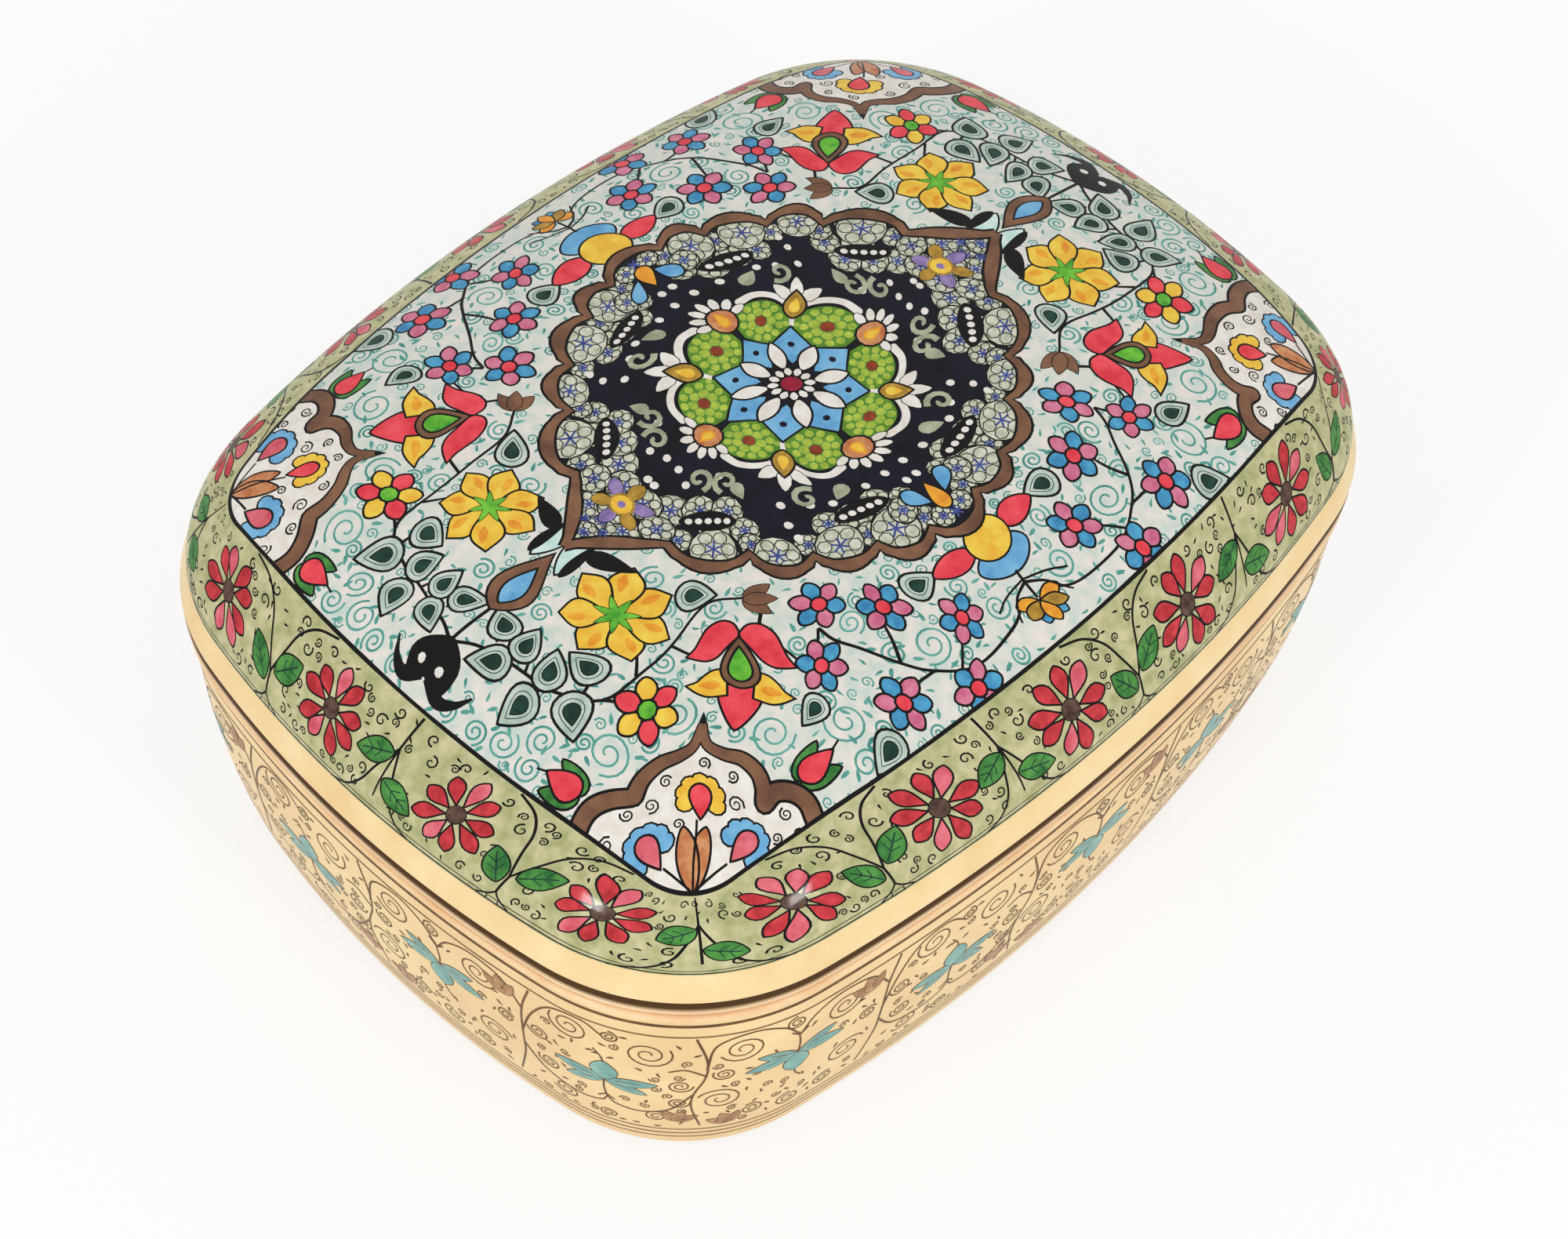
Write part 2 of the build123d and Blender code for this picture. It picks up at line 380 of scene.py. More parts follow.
def through(points, per=6):
    """A smooth line through points: Catmull-Rom spans, per steps in each."""
    p = np.asarray(points, float)
    p = np.vstack([2 * p[0] - p[1], p, 2 * p[-1] - p[-2]])
    t = np.linspace(0, 1, per, endpoint=False)[None, :, None]
    a, b, c, d = (p[i:len(p) - 3 + i, None] for i in range(4))
    line = b + 0.5 * t * (c - a + t * (2 * a - 5 * b + 4 * c - d + t * (3 * (b - c) + d - a)))
    return np.vstack([line.reshape(-1, 2), p[-2]])


def facing(shape):
    """The outline in counterclockwise order."""
    following = np.roll(shape, -1, 0)
    area = (shape[:, 0] * following[:, 1] - shape[:, 1] * following[:, 0]).sum()
    return shape if area > 0 else shape[::-1]


def grown(shape, edge):
    """An outline moved out by edge: each corner goes along the mean of its two sides'
    normals, with sharp corners held back."""
    ahead = np.roll(shape, -1, 0) - shape
    ahead /= np.linalg.norm(ahead, axis=1, keepdims=True) + 1e-9
    normal = np.column_stack([ahead[:, 1], -ahead[:, 0]])
    mean = normal + np.roll(normal, 1, 0)
    mean /= np.linalg.norm(mean, axis=1, keepdims=True) + 1e-9
    reach = edge / np.maximum((mean * normal).sum(1, keepdims=True), 0.5)
    return shape + mean * reach


def dab(picture, paint, shape, ink="black ink", edge=INK_EDGE):
    """Lay a filled shape, over an ink shape that shows round it as its pen line."""
    shape = facing(np.asarray(shape, float))
    if ink:
        picture.append((ink, grown(shape, edge)))
    picture.append((paint, shape))


def stroke(picture, paint, line, width, thin=1.0):
    """Lay a pen or brush line as a chain of quads.  It ends thin times as wide."""
    line = np.asarray(line, float)
    ahead = np.gradient(line, axis=0)
    ahead /= np.linalg.norm(ahead, axis=1, keepdims=True) + 1e-9
    half = np.linspace(width, width * thin, len(line))[:, None] / 2
    side = np.column_stack([-ahead[:, 1], ahead[:, 0]]) * half
    left, right = line + side, line - side
    for k in range(len(line) - 1):
        picture.append((paint, np.array([right[k], right[k + 1], left[k + 1], left[k]])))


def curl(x, y, radius, start, hand, turns=1.6, count=26):
    """A curl from its rim in to its eye: the radius falls evenly with the angle."""
    turn = np.radians(start) + hand * np.linspace(0, 2 * np.pi * turns, count)
    reach = np.linspace(radius, 0.14 * radius, count)
    return np.column_stack([x + reach * np.cos(turn), y + reach * np.sin(turn)])


FACES_INSIDE = 1             # ask the triangulation for all triangles inside the outlines
MERGE = 1e-5                 # points nearer than this become one


def cut_picture(picture, field, spacing):
    """Cut overlapping outlines into triangles, each with the paint of the last outline
    that covers it, inside the field's own outline.  Loose points on a triangle grid,
    spacing apart, let the triangles follow a curved surface."""
    outlines = [facing(np.asarray(field, float))] + [shape for _, shape in picture]
    sizes = np.array([len(shape) for shape in outlines])
    starts = np.concatenate([[0], np.cumsum(sizes)[:-1]])
    low, high = outlines[0].min(0), outlines[0].max(0)
    across, down = np.meshgrid(
        np.arange(low[0], high[0], spacing), np.arange(low[1], high[1], spacing * 0.87)
    )
    across[1::2] += spacing / 2
    loose = np.column_stack([across.ravel(), down.ravel()])
    points = np.vstack(outlines + [loose])
    faces = [list(range(a, a + n)) for a, n in zip(starts.tolist(), sizes.tolist())]
    made = delaunay_2d_cdt(points.tolist(), [], faces, FACES_INSIDE, MERGE, True)
    paints = ["ground"] + [paint for paint, _ in picture]
    triangles, colours = [], []
    for triangle, covers in zip(made[2], made[5]):
        if 0 in covers:
            triangles.append(triangle)
            colours.append(paints[max(covers)])
    return np.array([tuple(p) for p in made[0]]), np.array(triangles), np.array(colours)


UV_MARGIN = 0.04


def unrolled(corners, length, height, rows):
    """Texture coordinates of triangles on a strip length long and height high, cut into
    rows that lie one above the other, with a margin round each."""
    used = 1 - 2 * UV_MARGIN
    row = np.floor(corners[:, :, 0].mean(1, keepdims=True) / length * rows)
    row = np.clip(row, 0, rows - 1)
    u = UV_MARGIN + used * (corners[:, :, 0] / length * rows - row)
    v = (row + UV_MARGIN + used * corners[:, :, 1] / height) / rows
    return np.stack([u, v], -1)


PAINT_LIFT = 0.06            # the paint lies this far above the ground coat


def lay(prefix, cut, moves, place, body, strip, skip=()):
    """Make one piece of each paint in a cut picture.  moves repeat the picture, each a
    function of its points and whether it mirrors them; place puts picture points on the
    surface, and the paint lies just above it, with the surface's own normals.  strip is
    the picture's origin, length, height and rows for its texture coordinates.  Paints in
    skip are left out."""
    points, triangles, colours = cut
    flat = np.vstack([move(points) for move, _ in moves])
    repeated = []
    for k, (_, mirrors) in enumerate(moves):
        turned = triangles[:, ::-1] if mirrors else triangles
        repeated.append(turned + k * len(points))
    triangles = np.vstack(repeated)
    colours = np.tile(colours, len(moves))
    surface = place(flat)
    step = 0.05
    tangents = []
    for shift in ((step, 0), (0, step)):
        tangents.append(place(flat + shift) - place(flat - np.array(shift)))
    normals = np.cross(*tangents)
    normals /= np.linalg.norm(normals, axis=1, keepdims=True) + 1e-12
    surface = surface + normals * PAINT_LIFT
    origin, length, height, rows = strip
    for paint in sorted(set(colours.tolist()) - set(skip)):
        mine = triangles[colours == paint]
        used, local = np.unique(mine, return_inverse=True)
        piece = new_piece(
            f"{prefix}_{paint}".replace(" ", "_"), surface[used], local.reshape(-1, 3).tolist(),
            body, paint_material(f"{prefix} ground" if paint == "ground" else paint),
        )
        layer = piece.data.uv_layers.new(name="OFBake")
        layer.uv.foreach_set("vector", unrolled(flat[mine] - origin, length, height, rows).ravel())
        piece.data.normals_split_custom_set_from_vertices(normals[used].tolist())


# Poster colours by the painter's names: light tone, dark tone, usual patch in millimetres.
PAINTS = {
    "pen brown": ("#7A5428", "#583A1A", 3.0),
    "line brown": ("#94704A", "#70502F", 5.0),
    "water teal": ("#90BDB2", "#6A9F9A", 2.6),
    "earth": ("#C4966A", "#9A6C48", 2.0),
}
paint_materials = {}


def paint_material(name):
    """The varnished poster colour of this name, made when first used."""
    if name not in paint_materials:
        light, dark, patch = PAINTS[name]
        paint_materials[name] = varnished(f"{name} under varnish", light, dark, patch)
    return paint_materials[name]


# The pattern stands on a cell with one flower hanging and one standing, repeated round.
CELLS = 9
CELL = ROUND / CELLS
CELL_PHASE = ROUND / 2 + 0.4
POINT_GRID = 1.5             # loose points in a picture lie this far apart

face_points = arc_through(*FACE_ARC, 200)[::-1]
face_travel = travelled(face_points)
FACE_LENGTH = face_travel[-1]


def on_wall(points):
    """The wall's outer surface: s goes round it, v is measured down from the beads."""
    along = np.clip(points[:, 1] + FACE_LENGTH, 0, FACE_LENGTH)
    inset = np.interp(along, face_travel, face_points[:, 0])
    height = np.interp(along, face_travel, face_points[:, 1])
    return np.column_stack([rim(turn_at(points[:, 0]), inset), height])


def put(picture, motif, x, y, turn=0.0):
    """Lay a motif that was drawn about (0, 0), turned by turn degrees, at (x, y)."""
    picture += [(paint, at(shape, x, y, turn)) for paint, shape in motif]


def wall_flower():
    """A teal bloom: a short round petal between two pairs of long drooping wings."""
    motif = []
    for fan, length, width in (
        (112, 6.4, 2.0), (-112, 6.4, 2.0), (82, 7.6, 2.3), (-82, 7.6, 2.3), (0, 5.4, 4.0),
    ):
        dab(motif, "water teal", at(petal(length, width, 0.95), 0, 0, fan), "pen brown", 0.15)
        if fan:
            stroke(motif, "pen brown", at([[1.6, 0], [length * 0.7, 0]], 0, 0, fan), 0.16)
    stroke(motif, "pen brown", through([(0.2, 0), (-2.6, 0.2), (-6.0, -0.2)]), 0.3, 0.8)
    for side in (1, -1):
        stroke(motif, "pen brown", [[-5.0, 0], [-6.4, 1.3 * side]], 0.28)
    stroke(motif, "pen brown", through([(5.2, 0), (6.6, 0.3), (8.4, 1.4)]), 0.25)
    return motif


GOLDEN_SHARE = 0.618034
PLASTIC_SHARE = 0.754878
GOLDEN_ANGLE = 137.5


def strewn(picture, paint, taken, low, high, count, size, width):
    """Commas and small spirals strewn where nothing else lies.  Steps of the golden share
    along and of the plastic share across fill the field evenly.  A spot is passed over if
    it is nearer to the middle of a taken disc than its radius and 0.6 sizes, or nearer to
    an earlier mark than 1.5 sizes."""
    full = [(x, y, radius + size * 0.6) for x, y, radius in taken]
    for k in range(count):
        x = low[0] + (high[0] - low[0]) * (GOLDEN_SHARE * k % 1)
        y = low[1] + (high[1] - low[1]) * (PLASTIC_SHARE * k % 1)
        others = np.array(full + [(0, 0, -1)])
        if (np.hypot(x - others[:, 0], y - others[:, 1]) < others[:, 2]).any():
            continue
        full.append((x, y, size * 1.5))
        turn = GOLDEN_ANGLE * len(full)
        if len(full) % 3:
            mark = at(petal(size, size * 0.36, 0.7, 0.9, size * 0.4, 4), x, y, turn)
            dab(picture, paint, mark, None)
        else:
            spiral = curl(x, y, size * 0.7, turn, 1 - 2 * (len(full) % 2), 1.5, 13)
            stroke(picture, paint, spiral, width, 0.6)


# Curls by place round the cell, depth, radius, the angle of their outer end, and the hand.
WALL_CURLS = (
    (5.0, -9.2, 3.3, 200, 1), (20.4, -9.4, 3.1, 340, -1), (2.2, -23.6, 3.4, 160, -1),
    (22.0, -24.4, 3.2, 20, 1), (13.4, -31.0, 2.2, 90, 1), (7.2, -29.6, 1.9, 120, -1),
    (19.4, -31.0, 1.9, 60, 1), (35.4, -8.2, 3.2, 150, 1), (46.6, -9.8, 3.5, 30, -1),
    (30.2, -15.0, 1.8, 180, 1), (51.0, -18.6, 1.9, 0, -1), (47.6, -29.6, 2.0, 330, 1),
    (33.4, -29.6, 2.3, 200, 1), (40.4, -32.0, 1.6, 260, -1), (12.6, -6.8, 1.6, 90, 1),
    (41.2, -7.0, 1.4, 90, -1), (31.4, -22.8, 1.9, 150, 1), (50.8, -24.2, 1.7, 10, -1),
    (24.8, -16.4, 1.6, 30, 1), (2.6, -15.6, 1.7, 150, 1),
)


def wall_cell():
    """One cell of the scrollwork.  Its left neighbour's marks that reach over are drawn
    again, a cell further on."""
    picture = []
    taken = [(13.6, -17, 5.6), (40.8, -19, 5.6)] + [(x, y, r) for x, y, r, _, _ in WALL_CURLS]
    for shift in (-CELL, 0.0, CELL):
        for line in (
            [(29.2, -5.0), (27.8, -11), (27.4, -19), (27.2, -24), (26.2, -29), (25.2, -33.0)],
            [(-1.4, -5.0), (0.1, -11), (0.0, -16), (-1.6, -21.4), (-1.8, -26), (-0.4, -33.0)],
            [(0.1, -13.6), (1.4, -7.2), (6.4, -5.2), (10.8, -7.0), (13.2, -10.4)],
            [(27.8, -11.0), (24.6, -6.4), (19.4, -5.4), (15.4, -7.2), (13.3, -10.4)],
            [(27.3, -21.4), (30.6, -26.4), (36.0, -28.4), (39.4, -27.6), (40.4, -25.8)],
            [(52.8, -21.4), (49.6, -26.6), (45.4, -28.4), (41.8, -27.6), (40.5, -25.8)],
            [(27.4, -17.6), (29.4, -10.8), (32.6, -6.0), (37.4, -5.2), (40.4, -7.4)],
            [(54.6, -15.6), (51.8, -13.6), (49.4, -14.2)],
        ):
            stem = through(np.array(line) + [shift, 0])
            stroke(picture, "pen brown", stem, 0.34, 0.8)
            taken += [(x, y, 0.6) for x, y in stem]
        for x, y, radius, start, hand in WALL_CURLS:
            spiral = curl(x + shift, y, radius, start, hand, 2.1, 34)
            stroke(picture, "pen brown", spiral, 0.26, 0.7)
        for x, y, turn in ((24.6, -10.2, 100), (50.2, -31.0, 70), (4.0, -33.0, 110)):
            for fan in (-40, 40, 0):
                leaf = at(petal(4.0, 2.0, 0.8), x + shift, y, turn + fan)
                dab(picture, "earth", leaf, "pen brown", 0.1)
    strewn(picture, "pen brown", taken, (0.6, -33.4), (CELL - 0.6, -5.6), 420, 1.25, 0.24)
    for shift in (-CELL, 0.0, CELL):
        put(picture, wall_flower(), 13.2 + shift, -15.6, -90)
        put(picture, wall_flower(), 40.3 + shift, -19.9, 90)
    for depth, width, paint in (
        (1.75, 0.6, "pen brown"), (4.5, 0.3, "line brown"),
        (34.6, 0.26, "line brown"), (36.2, 0.3, "line brown"), (37.8, 0.26, "line brown"),
    ):
        stroke(picture, paint, straight((-1, -depth), (CELL + 1, -depth), 48), width)
    return picture


def shifted(distance):
    """A move that carries the picture on by a distance."""
    return lambda points: points + [distance, 0], False


wall_field = [(0, 0), (0, -FACE_LENGTH), (CELL, -FACE_LENGTH), (CELL, 0)]
wall_cut = cut_picture(wall_cell(), wall_field, POINT_GRID)
lay(
    "wall", wall_cut, [shifted(CELL_PHASE + k * CELL) for k in range(CELLS)], on_wall,
    "box_body", ((CELL_PHASE, -FACE_LENGTH), ROUND, FACE_LENGTH, 3),
    skip=("ground",),
)

# ---------------------------------------------------------------------------------------
# The two beads under the parting line: half-round strips of rolled paper let into the wall,
# gilded and burnished.  The upper one darkens to umber towards the parting line, a painted
# shade of the groove.

UPPER_BEAD = (43.4, 45.9, 0.0)       # bottom, top, and how far in its crown lies
LOWER_BEAD = (BEADS_BOTTOM, 42.6, 0.2)
BEAD_ROUND = 0.55


def bead_profile(bottom, top, crown):
    """A D: an arc at the front, a flat back."""
    edge = crown + BEAD_ROUND
    front = arc_through((edge, top), (crown, (bottom + top) / 2), (edge, bottom), 13)
    return np.vstack([front, [(BEAD_BACK, bottom), (BEAD_BACK, top)]])


def gold_with_painted_groove_shade(name, shade_starts, full_shade_from):
    """Gold bronze powder in varnish, brighter and redder than the body colour.  Umber is
    painted over it as the shade of the parting groove: none up to the height shade_starts,
    full from the height full_shade_from."""
    material, tree = new_material(name)
    place = add_node(tree, "ShaderNodeTexCoord")
    height = add_node(tree, "ShaderNodeSeparateXYZ", vector=place.outputs["Object"])
    # Painted shade of the parting groove: the umber's share grows with height up the bead.
    groove_shade_share = add_node(
        tree, "ShaderNodeMapRange", value=height.outputs["Z"],
        from_min=shade_starts * MM, from_max=full_shade_from * MM, to_min=0.0, to_max=1.0,
    )
    blend = add_node(
        tree, "ShaderNodeMix", {"data_type": "RGBA"}, in0=groove_shade_share.outputs[0],
        in6=mottled(tree, "#FADCB0", "#EEC494", 9), in7=linear("#4E3210"),
    )
    shader = add_node(
        tree, "ShaderNodeBsdfPrincipled", base_color=blend.outputs[2],
        roughness=0.4, specular_ior_level=0.1, coat_weight=0.2, coat_roughness=0.12,
    )
    add_node(tree, "ShaderNodeOutputMaterial", surface=shader.outputs[0])
    return material


# Bronze powder is paler and warmer than the body colour; on the upper bead a painted shade
# in umber darkens it towards the parting groove.
upper_gold_and_painted_shade = gold_with_painted_groove_shade("gold bronze rubbed with umber", 44.6, 45.3)
lower_gold = varnished("gold bronze on the lower bead", "#FADCB0", "#EEC494", 9, 0.4, 0.3)
for name, sizes, gold in (
    ("upper_bead", UPPER_BEAD, upper_gold_and_painted_shade), ("lower_bead", LOWER_BEAD, lower_gold),
):
    bead = ring_piece(f"{name}_strip", bead_profile(*sizes), "box_body", gold)
    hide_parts(f"body_{name}")

# Painted shade in the grooves: a strip of colour on the wall behind each, dark umber for the
# shade under the lid and a thin light brown for the shade between the beads.
umber = varnished("umber in the parting groove", "#5E4018", "#42290C", 6, 0.7, 0.0)
wash = varnished("painted shade between the beads", "#D8AE78", "#BC8C56", 6, 0.6, 0.05)
SHADE_STRIP_INSET = BEAD_BACK - 0.05        # a hair in front of the wall
for name, bottom, top, paint in (
    ("parting", UPPER_BEAD[1], BODY_HEIGHT, umber), ("bead", LOWER_BEAD[1], UPPER_BEAD[0], wash),
):
    rows = ring_rows([(SHADE_STRIP_INSET, bottom), (SHADE_STRIP_INSET, top)])
    index = np.arange(2 * AROUND).reshape(2, AROUND)
    quads = np.stack([index[0], np.roll(index[0], -1), np.roll(index[1], -1), index[1]], -1)
    new_piece(
        f"umber_in_{name}_groove", rows.reshape(-1, 3), quads.tolist(), "box_body",
        paint,
    )

# ---------------------------------------------------------------------------------------
# The collar, the floor and the linings: a strip of card glued inside the mouth, over which
# the lid drops, a board for the floor with a felt pad under it, and thin paper linings
# painted a plain black, as such boxes are inside.

COLLAR_TOP = 50.7
COLLAR_INSIDE = 7.1
COLLAR_LEAD = 0.6
LINING = 0.6


def collar_profile():
    """A flat strip, its outer top edge chamfered to guide the lid."""
    return [
        (MOUTH_INSET, COLLAR_TOP - COLLAR_LEAD), (MOUTH_INSET, COLLAR_BOTTOM),
        (COLLAR_INSIDE, COLLAR_BOTTOM), (COLLAR_INSIDE, COLLAR_TOP),
        (MOUTH_INSET + COLLAR_LEAD, COLLAR_TOP),
    ]


def wall_lining_profile():
    """The lining of the wall, a sheet as thick as LINING."""
    outer = hollow_line(MOUTH_INSET, FOOT_INSET, 14)
    inner = hollow_line(MOUTH_INSET + LINING, FOOT_INSET + LINING, 14)
    return np.vstack([outer, inner[::-1]])


# Gold body colour on card looks browner than on the wall, and black paint on paper keeps a
# soft shine.  Raw pulp board is matt with small flecks, and felt is dark and quite matt.
collar_gold = varnished("gold body colour on card", "#EFD09A", "#DDB67E", 8)
black_lining = varnished("black painted paper lining", "#2B2624", "#1B1715", 6, 0.5, 0.25)
board = varnished("raw pulp board", "#B39A78", "#94795A", 3, 0.85, 0.0)
pad = varnished("dark felt pad", "#26302B", "#1A211E", 1.2, 0.95, 0.0)

collar = ring_piece("collar_strip", collar_profile(), "box_body", collar_gold)
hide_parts("body_collar")
wall_lining = ring_piece(
    "wall_lining_sheet", wall_lining_profile(), "box_body", black_lining
)
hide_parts("body_wall_lining")
for node, material in (
    ("body_floor", board), ("body_floor_lining", black_lining), ("base_cover", pad),
):
    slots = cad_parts[node].data.materials
    slots.clear()
    slots.append(material)

# ---------------------------------------------------------------------------------------
# The band round the lid's mouth: a strip of the lid itself, left plain gold, leaning in a
# little towards its top.

BAND_TOP = 51.4
BAND_LEAN = 1.4
BAND_INSIDE = 5.0
BAND_ROUND = 0.5


def band_profile():
    """Lower edge rounded, face leaning in, flat on top and inside."""
    edge = edge_round(BAND_ROUND, BODY_HEIGHT + BAND_ROUND, BAND_ROUND, 270, 180)
    return np.vstack([
        [(BAND_INSIDE, BAND_TOP)], straight((BAND_LEAN, BAND_TOP), edge[-1], 8), edge[-2::-1],
        [(BAND_INSIDE, BODY_HEIGHT)],
    ])


# Held whenever the box is opened, the band is a little brighter and shinier than the wall.
band_gold = varnished("cream gold band", "#F8DFAC", "#F0CF94", 10, 0.4, 0.3)
band = ring_piece("rim_band_strip", band_profile(), "lid", band_gold)
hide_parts("lid_rim_band")

# ---------------------------------------------------------------------------------------
# The dome of the lid and its lining: moulded paper pulp, a low crown that rounds over a
# shoulder and falls to the band.  Each level line is an oval: near the crown its corners
# are wide, at the band it is the rim.

CROWN = 70.5
DOME_THICKNESS = 3.2
CORE_CORNER_RADIUS = 62.0
CORE_FADE = 1.5
SHOULDER_POWER = 3.75
SHOULDER_ROUND = 1.7
DOME_ROWS = 84
INNER_ROWS = 36
LINING_ROWS = 40
LAST_ROW = 88.5              # degrees of the rise at which the rows stop; a fan closes them
HALVINGS = 34


def level_oval(level, inset):
    """Half sizes and corner radius of the dome's level line at a share of its full size:
    the corner fades from the core's radius to the rim's as level^1.5 grows."""
    fade = level**CORE_FADE
    corner = level * ((1 - fade) * CORE_CORNER_RADIUS + fade * (CORNER_RADIUS - inset))
    return level * (HALF_LENGTH - inset), level * (HALF_WIDTH - inset), corner


def level_height(level, crown):
    """Height of a level line: rise = (1 - level^3.75)^(1 / 1.7) of the way up."""
    rise = np.clip(1 - level**SHOULDER_POWER, 0, 1) ** (1 / SHOULDER_ROUND)
    return BAND_TOP + (crown - BAND_TOP) * rise


def dome_rows(inset, crown, count):
    """Level rows from the band up to a small oval at the crown, evenly spread in angle."""
    turns = turn_at(np.linspace(0, ROUND, AROUND, endpoint=False))
    rise = np.sin(np.linspace(0, np.radians(LAST_ROW), count))
    levels = (1 - rise**SHOULDER_ROUND) ** (1 / SHOULDER_POWER)
    rows = []
    for level in levels:
        plan = oval(turns, *level_oval(level, inset))
        rows.append(np.column_stack([plan, np.full(AROUND, level_height(level, crown))]))
    return np.array(rows)


def dome_piece(name, outer, inner, material):
    """The shell between two domes, each given by its inset, its crown's height and its
    number of rows."""
    rows = np.concatenate([dome_rows(*outer)[::-1], dome_rows(*inner)])
    points, faces = joined_rows(rows, False)
    return new_piece(name, points, faces, "lid", material)


def past_oval(plan, half_length, half_width, corner):
    """How far plan points lie outside an oval: their distance from the centre of the arc
    on their side, less that arc's radius."""
    x, y = np.abs(plan[:, 0]), np.abs(plan[:, 1])
    short_side, long_side = side_arcs(half_length, half_width, corner)
    corner_x, corner_y = corner_centre(half_length, short_side, corner)
    angle = np.arctan2(y - corner_y, x - corner_x)
    past_corner = np.hypot(x - corner_x, y - corner_y) - corner
    past_short = np.hypot(x - half_length + short_side, y) - short_side
    past_long = np.hypot(x, y - half_width + long_side) - long_side
    return np.where(
        angle < SHORT_END, past_short, np.where(angle > LONG_END, past_long, past_corner)
    )


def on_dome(plan):
    """The dome's outer surface above plan points.  The level line through each point is
    found by halving."""
    low, high = np.zeros(len(plan)), np.ones(len(plan))
    for _ in range(HALVINGS):
        level = (low + high) / 2
        outside = past_oval(plan, *level_oval(level, BAND_LEAN)) > 0
        low = np.where(outside, level, low)
        high = np.where(outside, high, level)
    return np.column_stack([plan, level_height((low + high) / 2, CROWN)])


# Size coat of the lid, which only shows as a hair's breadth at the edges of the painting.
lid_ground = varnished("ivory size coat", "#D9D3BC", "#C6BE9F", 12)

INNER_CROWN = CROWN - DOME_THICKNESS
dome = dome_piece(
    "lid_dome_shell", (BAND_LEAN, CROWN, DOME_ROWS), (BAND_INSIDE, INNER_CROWN, INNER_ROWS),
    lid_ground,
)
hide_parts("lid_dome")
lid_lining = dome_piece(
    "lid_lining_sheet", (BAND_INSIDE, INNER_CROWN, LINING_ROWS),
    (BAND_INSIDE + LINING, INNER_CROWN - LINING, LINING_ROWS), black_lining,
)
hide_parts("lid_lining")

# ---------------------------------------------------------------------------------------
# The painted panel on the lid: a white field with a pointed and scalloped medallion, a
# quarter of one at each corner, and flowers, leaves and curls between.  One quarter is drawn,
# x and y counted from the middle, and mirrored; a slight drift makes the copies uneven.

PANEL_LENGTH = 68.6
PANEL_WIDTH = 52.0
PANEL_CORNER = 9.5

# Poster colours by the painter's names: light tone, dark tone, usual patch in millimetres.
PAINTS.update({
    "black ink": ("#0E0B0A", "#050404", 3.0),
    "teal line": ("#6EAEA2", "#3E8A80", 4.0),
    "panel ground": ("#EAE1D9", "#C9D6CC", 2.2),
    "border ground": ("#D0CA9E", "#A6A874", 2.2),
    "midnight": ("#101024", "#07070F", 4.0),
    "medallion brown": ("#8A6248", "#664634", 4.0),
    "sage": ("#B4B99E", "#8E967A", 2.0),
    "pearl white": ("#F1EDE6", "#E0D8CE", 2.0),
    "mint": ("#DCEEE8", "#B5DAD0", 2.5),
    "wine": ("#A3203A", "#7E1428", 2.0),
    "russet": ("#9C4522", "#77301A", 1.5),
    "lace": ("#DEDDCB", "#AFB49A", 1.3),
    "lime": ("#BCCC4E", "#8EAA38", 1.6),
    "sun yellow": ("#F4D352", "#EAB236", 2.2),
    "sky": ("#82BCE0", "#589CCC", 3.0),
    "kingfisher": ("#54A8CE", "#347EB0", 1.8),
    "rose": ("#DE88A0", "#C65E80", 1.8),
    "lotus red": ("#F45660", "#DC3442", 2.6),
    "grass": ("#7CCB3E", "#3F9A2C", 2.0),
    "heart green": ("#6C9A2A", "#4C7A22", 1.6),
    "orange": ("#F3B43A", "#E08A28", 2.2),
    "salmon": ("#D69A6A", "#B9683C", 1.6),
    "eye leaf": ("#CFD9CF", "#A6BBAC", 2.2),
    "pine": ("#1F4639", "#122C22", 1.4),
    "leaf green": ("#569A48", "#286A2E", 2.2),
    "violet": ("#A48FC0", "#7A669E", 1.6),
    "ochre": ("#C49A3C", "#94702A", 1.6),
    "daisy red": ("#D8424A", "#A8262E", 1.8),
    "daisy pink": ("#E77A84", "#CC4F5E", 2.2),
    "daisy eye": ("#6C5144", "#3E2A22", 1.0),
    "blue ink": ("#48589C", "#2C3874", 1.6),
    "pen green": ("#2F3A2A", "#1F281C", 2.0),
})


def scalloped(points, bulges, per=9):
    """A line of shallow bows: at share t of the span from one cusp to the next it has moved
    to the right by the span's bulge times (4 * t * (1 - t))^0.75."""
    points = np.asarray(points, float)
    t = np.linspace(0, 1, per, endpoint=False)[:, None]
    spans = []
    for start, end, bulge in zip(points[:-1], points[1:], bulges):
        ahead = end - start
        right = np.array([ahead[1], -ahead[0]]) / np.hypot(*ahead)
        spans.append(start + ahead * t + right * bulge * (4 * t * (1 - t)) ** 0.75)
    return np.vstack(spans + [points[-1:]])


ROSETTE_SCALE = 1.06         # the painter's flower against the one laid out here


